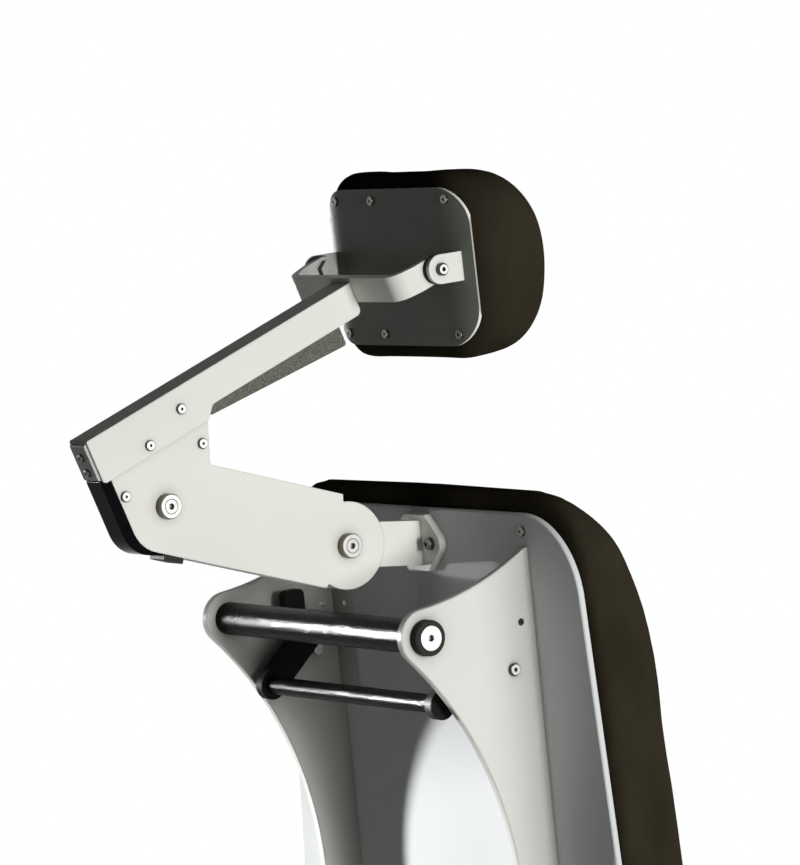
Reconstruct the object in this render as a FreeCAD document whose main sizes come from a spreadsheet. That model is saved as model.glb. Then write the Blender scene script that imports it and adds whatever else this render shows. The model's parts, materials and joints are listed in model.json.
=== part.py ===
"""Ophthalmic examination chair: a parametric FreeCAD document, in millimetres.

+X is the sitter's left, the chair faces -Y, and +Z is up. The origin lies on the floor under
the lifting column. Each sub-part is modelled in the frame of what carries it: the backrest,
the headrest link, the headrest arm, the headrest itself, or the chair's own frame.
"""
import FreeCAD, Part
import math
import os
import re
from FreeCAD import Placement, Rotation, Vector

doc = FreeCAD.newDocument("ExaminationChair")
sheet = doc.addObject("Spreadsheet::Sheet", "Sizes")
sizes = {}
kept = []


def size(alias, value):
    """Write one driving size in the sheet under its alias, and hand the number back."""
    row = len(sizes) + 1
    sizes[alias] = value
    sheet.set("A%d" % row, alias)
    sheet.set("B%d" % row, str(value))
    sheet.setAlias("B%d" % row, alias)
    return value


# ---------------------------------------------------------------- whole chair
seat_top = size("seat_top", 500.0)
back_rise = size("back_rise", 500.0)
handle_height = seat_top + back_rise
handle_setback = size("handle_setback", 470.0)
recline_rest = size("recline_rest", 6.9)
running_gap = size("running_gap", 0.3)
shaft_clearance = size("shaft_clearance", 0.05)
facing_gap = size("facing_gap", 0.2)

# ---------------------------------------------------------------- backrest plate and cushion
plate_setback = size("plate_setback", 129.2)
plate_thickness = size("plate_thickness", 7.0)
plate_half_width = size("plate_half_width", 252.0)
plate_taper = size("plate_taper", 4.2)
plate_top = size("plate_top", 99.5)
plate_drop = size("plate_drop", 5.0)
plate_bottom = -back_rise - plate_drop
plate_top_radius = size("plate_top_radius", 84.0)
plate_bottom_radius = size("plate_bottom_radius", 70.0)
plate_edge_round = size("plate_edge_round", 1.6)
back_pad_overhang = size("back_pad_overhang", 8.0)
back_pad_rise = size("back_pad_rise", 16.0)
back_pad_thickness = size("back_pad_thickness", 52.0)
back_pad_thickness_low = size("back_pad_thickness_low", 80.0)
back_pad_drop = size("back_pad_drop", 8.0)
back_pad_bottom = -back_rise - back_pad_drop
back_pad_gap = size("back_pad_gap", 0.3)

# ---------------------------------------------------------------- side panels of the backrest
panel_inner = size("panel_inner", 165.0)
panel_thickness = size("panel_thickness", 8.9)
boss_radius = size("boss_radius", 26.7)
panel_top = size("panel_top", 67.0)
panel_top_sweep = size("panel_top_sweep", 316.0)
panel_low_sweep = size("panel_low_sweep", 366.0)
panel_waist = size("panel_waist", 43.7)
panel_foot_drop = size("panel_foot_drop", 5.0)
panel_edge_round = size("panel_edge_round", 1.2)
tab_width = size("tab_width", 29.0)
tab_thickness = size("tab_thickness", 3.0)
tab_top = size("tab_top", 45.0)
tab_bottom = size("tab_bottom", -95.0)
spare_hole_setback = size("spare_hole_setback", 113.4)
spare_hole_level = size("spare_hole_level", -3.1)
spare_hole_radius = size("spare_hole_radius", 3.5)
panel_screw_setback = size("panel_screw_setback", 99.2)
panel_screw_level = size("panel_screw_level", -46.9)
panel_screw_radius = size("panel_screw_radius", 3.0)
panel_screw_head = size("panel_screw_head", 6.2)

# ---------------------------------------------------------------- recline hinge
recline_pivot_setback = size("recline_pivot_setback", 70.0)
recline_pivot_drop = size("recline_pivot_drop", 40.0)
recline_pivot_level = -back_rise - recline_pivot_drop
recline_boss_radius = size("recline_boss_radius", 34.0)
recline_pin_radius = size("recline_pin_radius", 10.0)
recline_pin_head = size("recline_pin_head", 17.0)
recline_pin_head_depth = size("recline_pin_head_depth", 6.0)

# ---------------------------------------------------------------- push handle
handle_radius = size("handle_radius", 16.4)
handle_wall = size("handle_wall", 2.5)
ring_radius = size("ring_radius", 17.3)
ring_depth = size("ring_depth", 10.1)
ring_hub_radius = size("ring_hub_radius", 11.9)
hub_proud = size("hub_proud", 0.8)
hub_socket_radius = size("hub_socket_radius", 3.6)
hub_socket_depth = size("hub_socket_depth", 4.0)
hub_bolt_radius = size("hub_bolt_radius", 5.0)
hub_bolt_length = size("hub_bolt_length", 24.0)

# ---------------------------------------------------------------- release bar under the handle
bar_setback = size("bar_setback", 29.0)
bar_level = size("bar_level", -71.3)
bar_radius = size("bar_radius", 9.0)
bar_half_length = size("bar_half_length", 141.0)
release_arm_thickness = size("release_arm_thickness", 10.0)
release_arm_width = size("release_arm_width", 29.0)
release_pivot_setback = size("release_pivot_setback", 76.0)
release_pivot_level = size("release_pivot_level", -30.0)
release_pin_radius = size("release_pin_radius", 6.0)
release_horn_level = size("release_horn_level", 20.0)
release_horn_setback = size("release_horn_setback", 64.5)
release_horn_width = size("release_horn_width", 23.5)

# ---------------------------------------------------------------- headrest mount on the plate
mount_pivot_setback = size("mount_pivot_setback", 31.9)
mount_pivot_level = size("mount_pivot_level", 76.5)
mount_tilt = size("mount_tilt", 7.0)
mount_bar_height = size("mount_bar_height", 44.0)
mount_bar_thickness = size("mount_bar_thickness", 18.0)
flange_half_width = size("flange_half_width", 44.8)
flange_half_height = size("flange_half_height", 28.0)
flange_top_half = size("flange_top_half", 17.0)
flange_thickness = size("flange_thickness", 8.0)
flange_bolt_spread = size("flange_bolt_spread", 24.5)

# ---------------------------------------------------------------- headrest link
link_rest = size("link_rest", 11.8)
link_length = size("link_length", 213.0)
link_width = size("link_width", 25.0)
link_wall = size("link_wall", 2.5)
link_top = size("link_top", 48.0)
link_bottom = size("link_bottom", 45.0)
link_nose_radius = size("link_nose_radius", 43.0)
link_web_start = size("link_web_start", 16.0)
lobe_neck = size("lobe_neck", 40.0)
lobe_front = size("lobe_front", 79.0)
lobe_rear = size("lobe_rear", 44.0)
lobe_overlap = size("lobe_overlap", 3.0)
lobe_heel_radius = size("lobe_heel_radius", 36.0)
pivot_pin_radius = size("pivot_pin_radius", 6.0)
pivot_disc_radius = size("pivot_disc_radius", 12.2)
pivot_disc_depth = size("pivot_disc_depth", 8.5)
pivot_head_radius = size("pivot_head_radius", 6.7)
pivot_socket_radius = size("pivot_socket_radius", 3.3)
pivot_socket_depth = size("pivot_socket_depth", 4.0)
pivot_groove = size("pivot_groove", 0.7)
cover_proud = size("cover_proud", 12.0)
cover_tongue = size("cover_tongue", 14.0)
lobe_screw_a_reach = size("lobe_screw_a_reach", 62.0)
lobe_screw_a_level = size("lobe_screw_a_level", 35.0)
lobe_screw_b_reach = size("lobe_screw_b_reach", -37.1)
lobe_screw_b_level = size("lobe_screw_b_level", 29.8)
lobe_spacer_radius = size("lobe_spacer_radius", 4.0)
stop_tab_length = size("stop_tab_length", 22.0)
stop_tab_height = size("stop_tab_height", 6.0)

# ---------------------------------------------------------------- headrest arm
arm_rest = size("arm_rest", 26.5)
arm_top = size("arm_top", 97.0)
arm_rear = size("arm_rear", 54.0)
arm_front = size("arm_front", 281.0)
arm_wall = size("arm_wall", 2.8)
arm_depth_rear = size("arm_depth_rear", 45.0)
arm_depth_front = size("arm_depth_front", 33.0)
arm_flare_start = size("arm_flare_start", 77.0)
arm_flare_end = size("arm_flare_end", 88.0)
arm_flare_radius = size("arm_flare_radius", 20.0)
end_cap_depth = size("end_cap_depth", 12.0)
end_cap_proud = size("end_cap_proud", 3.0)
end_cap_height = size("end_cap_height", 38.0)
cap_screw_pitch = size("cap_screw_pitch", 16.0)
cap_screw_head = size("cap_screw_head", 4.4)
lug_thickness = size("lug_thickness", 18.0)
arm_screw_a_reach = size("arm_screw_a_reach", 53.5)
arm_screw_a_level = size("arm_screw_a_level", 76.5)
arm_screw_b_reach = size("arm_screw_b_reach", 7.0)
arm_screw_b_level = size("arm_screw_b_level", 61.5)
button_head = size("button_head", 5.2)
button_depth = size("button_depth", 2.8)
button_shank = size("button_shank", 2.5)
button_socket = size("button_socket", 1.6)

# ---------------------------------------------------------------- release lever under the arm
lever_width = size("lever_width", 22.0)
lever_tongue = size("lever_tongue", 18.0)
lever_reach = size("lever_reach", 254.0)
lever_low_front = size("lever_low_front", 43.0)
lever_low_rear = size("lever_low_rear", 54.0)
lever_rear_reach = size("lever_rear_reach", 82.0)
lever_depth_front = size("lever_depth_front", 26.0)
lever_boss = size("lever_boss", 8.5)

# ---------------------------------------------------------------- yoke and headrest
yoke_half_width = size("yoke_half_width", 90.0)
yoke_height = size("yoke_height", 26.0)
yoke_thickness = size("yoke_thickness", 7.0)
yoke_bend = size("yoke_bend", 18.0)
yoke_spread = size("yoke_spread", 97.0)
ear_reach = size("ear_reach", 326.2)
ear_level = size("ear_level", 89.1)
head_tilt = size("head_tilt", 7.9)
friction_disc_radius = size("friction_disc_radius", 14.3)
friction_disc_depth = size("friction_disc_depth", 6.0)
ear_thickness = size("ear_thickness", 4.0)
ear_radius = size("ear_radius", 14.3)
ear_bolt_radius = size("ear_bolt_radius", 4.0)
ear_bolt_head = size("ear_bolt_head", 6.2)
ear_bolt_head_depth = size("ear_bolt_head_depth", 5.0)
ear_nut_radius = size("ear_nut_radius", 10.0)
ear_nut_depth = size("ear_nut_depth", 7.0)
head_plate_setback = size("head_plate_setback", 22.0)
head_plate_half_width = size("head_plate_half_width", 119.5)
head_plate_top = size("head_plate_top", 76.5)
head_plate_bottom = size("head_plate_bottom", -78.5)
head_plate_radius = size("head_plate_radius", 38.0)
head_plate_thickness = size("head_plate_thickness", 3.0)
head_plate_flat = size("head_plate_flat", 80.0)
head_wing_radius = size("head_wing_radius", 90.0)
head_screw_level_top = size("head_screw_level_top", 65.0)
head_screw_level_low = size("head_screw_level_low", -67.0)
head_screw_spread = size("head_screw_spread", 93.5)
head_screw_middle = size("head_screw_middle", 30.0)
head_pad_half_width = size("head_pad_half_width", 136.0)
head_pad_top = size("head_pad_top", 99.0)
head_pad_bottom = size("head_pad_bottom", -88.0)
head_pad_depth = size("head_pad_depth", 96.0)
head_pad_corner = size("head_pad_corner", 62.0)

# ---------------------------------------------------------------- seat
seat_pad_thickness = size("seat_pad_thickness", 84.0)
seat_front = size("seat_front", -265.0)
seat_rear = size("seat_rear", 225.0)
seat_half_width = size("seat_half_width", 280.0)
seat_corner = size("seat_corner", 70.0)
seat_pad_round = size("seat_pad_round", 26.0)
pan_thickness = size("pan_thickness", 4.0)
pan_inset = size("pan_inset", 34.0)
rail_width = size("rail_width", 30.0)
rail_height = size("rail_height", 50.0)
rail_front = size("rail_front", -305.0)
rail_rear = size("rail_rear", 300.0)
cross_length = size("cross_length", 246.0)
hinge_ear_gap = size("hinge_ear_gap", 1.0)
hinge_ear_thickness = size("hinge_ear_thickness", 12.0)

# ---------------------------------------------------------------- armrests
armrest_offset = size("armrest_offset", 325.0)
armrest_top = size("armrest_top", 713.0)
armrest_front = size("armrest_front", -215.0)
armrest_rear = size("armrest_rear", 215.0)
armrest_pad_width = size("armrest_pad_width", 60.0)
armrest_pad_height = size("armrest_pad_height", 34.0)
armrest_pad_round = size("armrest_pad_round", 12.0)
armrest_post_place = size("armrest_post_place", 160.0)
armrest_post_width = size("armrest_post_width", 34.0)
armrest_post_thickness = size("armrest_post_thickness", 12.0)
armrest_pivot_drop = size("armrest_pivot_drop", 20.0)
armrest_beam_wall = size("armrest_beam_wall", 3.0)
armrest_beam_height = size("armrest_beam_height", 34.0)
armrest_bolt_radius = size("armrest_bolt_radius", 6.0)
armrest_bolt_head = size("armrest_bolt_head", 10.0)
armrest_bolt_head_depth = size("armrest_bolt_head_depth", 5.0)

# ---------------------------------------------------------------- legrest and foot plate
leg_pivot_place = size("leg_pivot_place", -290.0)
leg_pivot_drop = size("leg_pivot_drop", 113.0)
leg_pivot_level = seat_top - leg_pivot_drop
leg_pin_radius = size("leg_pin_radius", 8.0)
leg_rail_offset = size("leg_rail_offset", 112.0)
leg_rail_thickness = size("leg_rail_thickness", 10.0)
leg_rail_width = size("leg_rail_width", 34.0)
leg_rail_bottom = size("leg_rail_bottom", 92.0)
leg_board_thickness = size("leg_board_thickness", 4.0)
leg_board_half_width = size("leg_board_half_width", 200.0)
leg_board_top = size("leg_board_top", 360.0)
leg_board_bottom = size("leg_board_bottom", 128.0)
leg_board_corner = size("leg_board_corner", 40.0)
leg_pad_overhang = size("leg_pad_overhang", 14.0)
leg_pad_thickness = size("leg_pad_thickness", 58.0)
leg_pad_round = size("leg_pad_round", 20.0)
foot_plate_level = size("foot_plate_level", 100.0)
foot_plate_length = size("foot_plate_length", 190.0)
foot_plate_half_width = size("foot_plate_half_width", 170.0)
foot_plate_thickness = size("foot_plate_thickness", 5.0)
foot_plate_corner = size("foot_plate_corner", 45.0)

# ---------------------------------------------------------------- column and base
ram_radius = size("ram_radius", 42.0)
ram_wall = size("ram_wall", 6.0)
ram_bottom = size("ram_bottom", 40.0)
ram_flange_radius = size("ram_flange_radius", 95.0)
ram_flange_thickness = size("ram_flange_thickness", 10.0)
column_radius = size("column_radius", 62.0)
column_wall = size("column_wall", 6.0)
column_top = size("column_top", 300.0)
column_flange_radius = size("column_flange_radius", 100.0)
column_flange_thickness = size("column_flange_thickness", 12.0)
column_bolt_circle = size("column_bolt_circle", 82.0)
column_bolt_radius = size("column_bolt_radius", 5.0)
bush_height = size("bush_height", 36.0)
base_half_width = size("base_half_width", 300.0)
base_front = size("base_front", -290.0)
base_rear = size("base_rear", 350.0)
base_corner = size("base_corner", 70.0)
base_thickness = size("base_thickness", 15.0)
cover_inset = size("cover_inset", 24.0)
cover_round = size("cover_round", 14.0)
cover_height = size("cover_height", 48.0)
cover_wall = size("cover_wall", 3.0)
cover_rear = size("cover_rear", 250.0)

# ---------------------------------------------------------------- pump pedal
pedal_offset = size("pedal_offset", 150.0)
pedal_pivot_place = size("pedal_pivot_place", 290.0)
pedal_pivot_level = size("pedal_pivot_level", 62.0)
pedal_pin_radius = size("pedal_pin_radius", 6.0)
pedal_reach = size("pedal_reach", 150.0)
pedal_inner_reach = size("pedal_inner_reach", 26.0)
pedal_arm_width = size("pedal_arm_width", 22.0)
pedal_arm_height = size("pedal_arm_height", 14.0)
pedal_tread_length = size("pedal_tread_length", 60.0)
pedal_tread_width = size("pedal_tread_width", 90.0)
pedal_ear_thickness = size("pedal_ear_thickness", 8.0)

# ---------------------------------------------------------------- frames that carry the sub-parts
SIDEWAYS = Vector(1, 0, 0)
FORWARD = Vector(0, -1, 0)
REARWARD = Vector(0, 1, 0)
UPWARD = Vector(0, 0, 1)


def tilted(point, degrees):
    """Frame at a point, turned about the sideways axis."""
    return Placement(point, Rotation(SIDEWAYS, degrees))


chair_frame = Placement()
back_frame = tilted(Vector(0, handle_setback, handle_height), -recline_rest)
link_frame = tilted(back_frame.multVec(Vector(0, -mount_pivot_setback, mount_pivot_level)), link_rest)
arm_frame = tilted(link_frame.multVec(Vector(0, link_length, 0)), -arm_rest)
head_frame = tilted(arm_frame.multVec(Vector(0, -ear_reach, ear_level)), -head_tilt)


# ---------------------------------------------------------------- outlines
def flat(x, y):
    """Point in a sketch."""
    return Vector(x, y, 0)


def rounded(corners):
    """Closed outline through (x, y, radius) corners: straight sides with tangent corner arcs."""
    pieces = []
    starts = []
    ends = []
    count = len(corners)
    for index, (x, y, radius) in enumerate(corners):
        here = flat(x, y)
        back = (flat(*corners[index - 1][:2]) - here).normalize()
        ahead = (flat(*corners[(index + 1) % count][:2]) - here).normalize()
        half_angle = back.getAngle(ahead) / 2
        if radius:
            reach = radius / math.tan(half_angle)
            inward = (back + ahead).normalize()
            middle = here + inward * (radius / math.sin(half_angle) - radius)
            starts.append(here + back * reach)
            ends.append(here + ahead * reach)
            pieces.append(Part.Arc(starts[-1], middle, ends[-1]))
        else:
            starts.append(here)
            ends.append(here)
    for index in range(count):
        following = starts[(index + 1) % count]
        if (following - ends[index]).Length > 1e-6:
            pieces.append(Part.LineSegment(ends[index], following))
    return pieces


def box_outline(x_low, y_low, x_high, y_high, radius=0.0):
    """Rectangle, with its corners rounded where a radius is given."""
    return rounded([(x_low, y_low, radius), (x_high, y_low, radius),
                    (x_high, y_high, radius), (x_low, y_high, radius)])


def hole(x, y, radius):
    """Round outline inside a sketch."""
    return [Part.Circle(flat(x, y), Vector(0, 0, 1), radius)]


def arc_about(centre, radius, start, end):
    """Shorter arc about a centre, from one point to another."""
    middle = centre + ((start + end) / 2 - centre).normalize() * radius
    return Part.Arc(start, middle, end)


def capsule(first, second, radius):
    """Two equal round ends joined by straight sides."""
    along = (second - first).normalize()
    across = Vector(-along.y, along.x, 0) * radius
    return [Part.LineSegment(first + across, second + across),
            Part.Arc(second + across, second + along * radius, second - across),
            Part.LineSegment(second - across, first - across),
            Part.Arc(first - across, first - along * radius, first + across)]


def tangent_point(centre, radius, boss, boss_size):
    """Where a boss touches a larger arc that sweeps outside it."""
    return boss + (centre - boss).normalize() * boss_size


# ---------------------------------------------------------------- features
def bound(expression):
    """Write the sheet's name before each alias of an expression."""
    return re.sub(r"[a-z_]+", lambda word: "Sizes." + word.group(0), expression)


def keep(item, frame):
    """Count an object as a sub-part of the chair and put it in its frame."""
    item.Placement = frame
    kept.append(item)
    return item


def new_body(label, frame):
    """Empty body of a sub-part."""
    body = doc.addObject("PartDesign::Body", label)
    body.Label = label
    return keep(body, frame)


def sketch_on(body, role, outlines, offset=0.0):
    """Sketch closed outlines on one of the body's own origin planes."""
    plane = next(item for item in body.Origin.OriginFeatures if item.Role == role)
    sketch = body.newObject("Sketcher::SketchObject", body.Label + "_sketch")
    sketch.AttachmentSupport = [(plane, "")]
    sketch.MapMode = "FlatFace"
    sketch.AttachmentOffset = Placement(Vector(0, 0, offset), Rotation())
    for outline in outlines:
        sketch.addGeometry(outline, False)
    return sketch


def pad(body, sketch, length, both_ways=True, backward=False):
    """Pad a sketch by an expression of sheet aliases."""
    feature = body.newObject("PartDesign::Pad", body.Label + "_pad")
    feature.Profile = sketch
    feature.setExpression("Length", bound(length))
    feature.Midplane = both_ways
    feature.Reversed = backward
    return feature


def pocket(body, sketch, length, both_ways=True, backward=False):
    """Cut a sketch away by an expression of sheet aliases."""
    feature = body.newObject("PartDesign::Pocket", body.Label + "_pocket")
    feature.Profile = sketch
    feature.setExpression("Length", bound(length))
    feature.Midplane = both_ways
    feature.Reversed = backward
    return feature


def side_plate(label, frame, outlines, length, offset=0.0):
    """Sub-part whose outline is seen from the side, padded both ways about its middle."""
    body = new_body(label, frame)
    pad(body, sketch_on(body, "YZ_Plane", outlines, offset), length)
    return body


short_edge = 5.0


def rim_edges(feature, axis, sharp_line=None):
    """Names of the edges round the two largest faces that look along an axis.

    Edges that lie on the sharp line, a Y value, and short edges stay sharp.
    """
    faces = []
    for face in feature.Shape.Faces:
        normal = face.normalAt(0, 0)
        if face.Surface.TypeId == "Part::GeomPlane" and abs(abs(normal.dot(axis)) - 1) < 1e-6:
            faces.append(face)
    faces.sort(key=lambda face: -face.Area)
    rims = [edge for face in faces[:2] for edge in face.OuterWire.Edges
            if sharp_line is None or edge.Length > short_edge
            and max(abs(vertex.Point.y - sharp_line) for vertex in edge.Vertexes) > 0.01]
    names = []
    for index, edge in enumerate(feature.Shape.Edges):
        if any(edge.isSame(rim) for rim in rims):
            names.append("Edge%d" % (index + 1))
    return names


def soften(body, feature, axis, radius, sharp_line=None):
    """Break the rims of a plate by a sheet alias."""
    doc.recompute()
    names = rim_edges(feature, axis, sharp_line)
    chamfer = body.newObject("PartDesign::Chamfer", body.Label + "_chamfer")
    chamfer.Base = (feature, names)
    chamfer.Size = sizes[radius]
    chamfer.setExpression("Size", bound(radius))
    return chamfer


def solids(label, frame, shapes):
    """Sub-part of plain solids made with Part: a group of fasteners or a soft form."""
    item = doc.addObject("Part::Feature", label)
    item.Label = label
    item.Shape = shapes[0] if len(shapes) == 1 else Part.makeCompound(shapes)
    return keep(item, frame)


def rod(start, axis, radius, length):
    """Plain round bar from a point along an axis."""
    return Part.makeCylinder(radius, length, start, axis)


def hex_prism(start, axis, across_radius, length):
    """Hexagonal socket or nut."""
    corners = [flat(across_radius * math.cos(math.radians(60 * step)),
                    across_radius * math.sin(math.radians(60 * step))) for step in range(6)]
    prism = Part.Face(Part.makePolygon(corners + corners[:1])).extrude(Vector(0, 0, length))
    prism.Placement = Placement(start, Rotation(Vector(0, 0, 1), axis))
    return prism


def socket_screw(seat, axis, head, head_depth, socket, shank, shank_length):
    """Screw with a chamfered head on its seat, a hex socket, and a shank going the other way."""
    bevel = head_depth * 0.3
    body = rod(seat, axis, head, head_depth - bevel)
    crown = Part.makeCone(head, head - bevel, bevel, seat + axis * (head_depth - bevel), axis)
    body = body.fuse([crown, rod(seat, axis * -1, shank, shank_length)])
    body = body.cut(hex_prism(seat + axis * (head_depth * 0.4), axis, socket, head_depth))
    return body.removeSplitter()


def mirrored_pair(shape):
    """A shape and its mirror image across the chair's middle plane."""
    return [shape, shape.mirror(Vector(0, 0, 0), SIDEWAYS)]


# ================================================================ backrest
def plate_half(level):
    """Half width of the back plate, which widens downward."""
    return plate_half_width - level * math.tan(math.radians(plate_taper))


plate_front = plate_setback + plate_thickness
shank_hole = button_shank + shaft_clearance
plate_screw_level = size("plate_screw_level", 82.0)
plate_screw_spread = size("plate_screw_spread", 167.0)
flange_bolt_radius = size("flange_bolt_radius", 3.0)
flange_bolt_head = size("flange_bolt_head", 6.3)
flange_bolt_head_depth = size("flange_bolt_head_depth", 6.0)
flange_level = size("flange_level", 65.5)

back_plate = new_body("back_plate", back_frame)
plate_outline = rounded([(plate_half(plate_top), plate_top, plate_top_radius),
                         (-plate_half(plate_top), plate_top, plate_top_radius),
                         (-plate_half(plate_bottom), plate_bottom, plate_bottom_radius),
                         (plate_half(plate_bottom), plate_bottom, plate_bottom_radius)])
plate_holes = []
for hand in (-1, 1):
    plate_holes.append(hole(hand * plate_screw_spread, plate_screw_level, shank_hole))
    plate_holes.append(hole(hand * flange_bolt_spread, flange_level,
                            flange_bolt_radius + shaft_clearance))
plate_sketch = sketch_on(back_plate, "XZ_Plane", [plate_outline] + plate_holes, plate_setback)
plate_pad = pad(back_plate, plate_sketch, "plate_thickness", both_ways=False)
soften(back_plate, plate_pad, FORWARD, "plate_edge_round")

# The cushion is a plain closed form: its front leans out towards the seat.
back_pad_rear = plate_front + back_pad_gap
back_pad_round = size("back_pad_round", 30.0)
back_pad_corner = size("back_pad_corner", 92.0)
back_cushion = new_body("back_cushion", back_frame)
cushion_top = plate_top + back_pad_rise
cushion_outline = rounded(
    [(plate_half(plate_top) + back_pad_overhang, cushion_top, back_pad_corner),
     (-plate_half(plate_top) - back_pad_overhang, cushion_top, back_pad_corner),
     (-plate_half(back_pad_bottom) - back_pad_overhang, back_pad_bottom, plate_bottom_radius),
     (plate_half(back_pad_bottom) + back_pad_overhang, back_pad_bottom, plate_bottom_radius)])
cushion_sketch = sketch_on(back_cushion, "XZ_Plane", [cushion_outline], back_pad_rear)
pad(back_cushion, cushion_sketch, "back_pad_thickness_low", both_ways=False)
slope_outline = rounded([(-back_pad_rear - back_pad_thickness, cushion_top + back_pad_round, 0),
                         (-back_pad_rear - back_pad_thickness, cushion_top, 0),
                         (-back_pad_rear - back_pad_thickness_low, back_pad_bottom, 0),
                         (-back_pad_rear - 2 * back_pad_thickness_low, back_pad_bottom, 0),
                         (-back_pad_rear - 2 * back_pad_thickness_low, cushion_top + back_pad_round, 0)])
slope_sketch = sketch_on(back_cushion, "YZ_Plane", [slope_outline])
slope_cut = pocket(back_cushion, slope_sketch, "plate_half_width * 4")
doc.recompute()
front_face = min(slope_cut.Shape.Faces, key=lambda face: face.CenterOfMass.y)
front_names = ["Edge%d" % (index + 1) for index, edge in enumerate(slope_cut.Shape.Edges)
               if any(edge.isSame(rim) for rim in front_face.OuterWire.Edges)]
cushion_round = back_cushion.newObject("PartDesign::Fillet", "back_cushion_fillet")
cushion_round.Base = (slope_cut, front_names)
cushion_round.Radius = back_pad_round
cushion_round.setExpression("Radius", bound("back_pad_round"))

# Side panels: a boss at the push handle, a waist, and a boss at the recline hinge.
handle_axis = flat(0, 0)
recline_axis = flat(-recline_pivot_setback, recline_pivot_level)
panel_tip = flat(-plate_setback, panel_top)
panel_joint = panel_tip + flat(tab_thickness, 0)
waist_line = -plate_setback + panel_waist


def sweep_centre():
    """Centre of the panel's upper edge: it touches the boss and ends on the plate."""
    reach = panel_top_sweep + boss_radius
    span = panel_joint.Length
    along = (span ** 2 + reach ** 2 - panel_top_sweep ** 2) / (2 * span)
    rise = math.sqrt(reach ** 2 - along ** 2)
    direction = (panel_joint - handle_axis).normalize()
    across = Vector(direction.y, -direction.x, 0)
    return direction * along + across * rise


def panel_outline():
    """Side panel seen from the side."""
    top_centre = sweep_centre()
    low_x = waist_line + panel_low_sweep
    low_y = -math.sqrt((panel_low_sweep + boss_radius) ** 2 - low_x ** 2)
    low_centre = flat(low_x, low_y)
    waist = flat(waist_line, low_y)
    offset = waist.x - recline_axis.x
    drop = low_y - recline_axis.y
    foot_sweep = (offset ** 2 + drop ** 2 - recline_boss_radius ** 2) / (2 * (recline_boss_radius - offset))
    foot_centre = flat(waist.x + foot_sweep, low_y)
    top_touch = tangent_point(top_centre, panel_top_sweep, handle_axis, boss_radius)
    low_touch = tangent_point(low_centre, panel_low_sweep, handle_axis, boss_radius)
    foot_touch = tangent_point(foot_centre, foot_sweep, recline_axis, recline_boss_radius)
    toe = flat(-plate_setback, plate_bottom - panel_foot_drop)
    heel = tangent_from(toe, recline_axis, recline_boss_radius)
    under = recline_axis + flat(0, -recline_boss_radius)
    return [arc_about(top_centre, panel_top_sweep, panel_joint, top_touch),
            Part.Arc(top_touch, handle_axis + flat(boss_radius, 0), low_touch),
            arc_about(low_centre, panel_low_sweep, low_touch, waist),
            arc_about(foot_centre, foot_sweep, waist, foot_touch),
            Part.Arc(foot_touch, under, heel),
            Part.LineSegment(heel, toe),
            Part.LineSegment(toe, panel_tip),
            Part.LineSegment(panel_tip, panel_joint)]


def tangent_from(point, centre, radius, turn=1):
    """Touching point of a tangent from a point to a circle; turn -1 takes the other tangent."""
    reach = centre - point
    along = math.acos(radius / reach.Length)
    direction = (point - centre).normalize()
    turned = Rotation(Vector(0, 0, 1), turn * math.degrees(along)).multVec(direction)
    return centre + turned * radius


def side_panel(label, hand):
    """Side panel with the foot tab that lies on the back plate."""
    panel_holes = [hole(0, 0, hub_bolt_radius + shaft_clearance),
                   hole(recline_axis.x, recline_axis.y, recline_pin_radius + shaft_clearance),
                   hole(-panel_screw_setback, panel_screw_level, panel_screw_radius + shaft_clearance),
                   hole(-spare_hole_setback, spare_hole_level, spare_hole_radius)]
    middle = hand * (panel_inner + panel_thickness / 2)
    body = new_body(label, back_frame)
    web = pad(body, sketch_on(body, "YZ_Plane", [panel_outline()] + panel_holes, middle),
              "panel_thickness")
    soften(body, web, SIDEWAYS, "panel_edge_round", -plate_setback)
    tab_outline = box_outline(-plate_setback, tab_bottom, -plate_setback + tab_thickness, tab_top)
    tab_sketch = sketch_on(body, "YZ_Plane", [tab_outline], hand * (panel_inner - tab_width / 2))
    pad(body, tab_sketch, "tab_width")
    return body


side_panel("side_panel_left", 1)
side_panel("side_panel_right", -1)

# ---------------------------------------------------------------- push handle and its ends
handle_plug = size("handle_plug", 24.0)
tube = doc.addObject("Part::Cylinder", "handle_tube")
tube.setExpression("Radius", bound("handle_radius"))
tube.setExpression("Height", bound("panel_inner * 2"))
cavity = doc.addObject("Part::Cylinder", "handle_cavity")
cavity.setExpression("Radius", bound("handle_radius - handle_wall"))
cavity.setExpression("Height", bound("(panel_inner - handle_plug) * 2"))
cavity.setExpression("Placement.Base.z", bound("handle_plug"))
thread = doc.addObject("Part::Cylinder", "handle_thread")
thread.setExpression("Radius", bound("hub_bolt_radius + shaft_clearance"))
thread.setExpression("Height", bound("panel_inner * 2"))
hollow = doc.addObject("Part::Fuse", "handle_hollow")
hollow.Base = cavity
hollow.Tool = thread
push_handle = doc.addObject("Part::Cut", "push_handle")
push_handle.Label = "push_handle"
push_handle.Base = tube
push_handle.Tool = hollow
across_chair = Placement(Vector(-panel_inner, 0, 0), Rotation(UPWARD, SIDEWAYS))
keep(push_handle, back_frame.multiply(across_chair))

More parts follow.
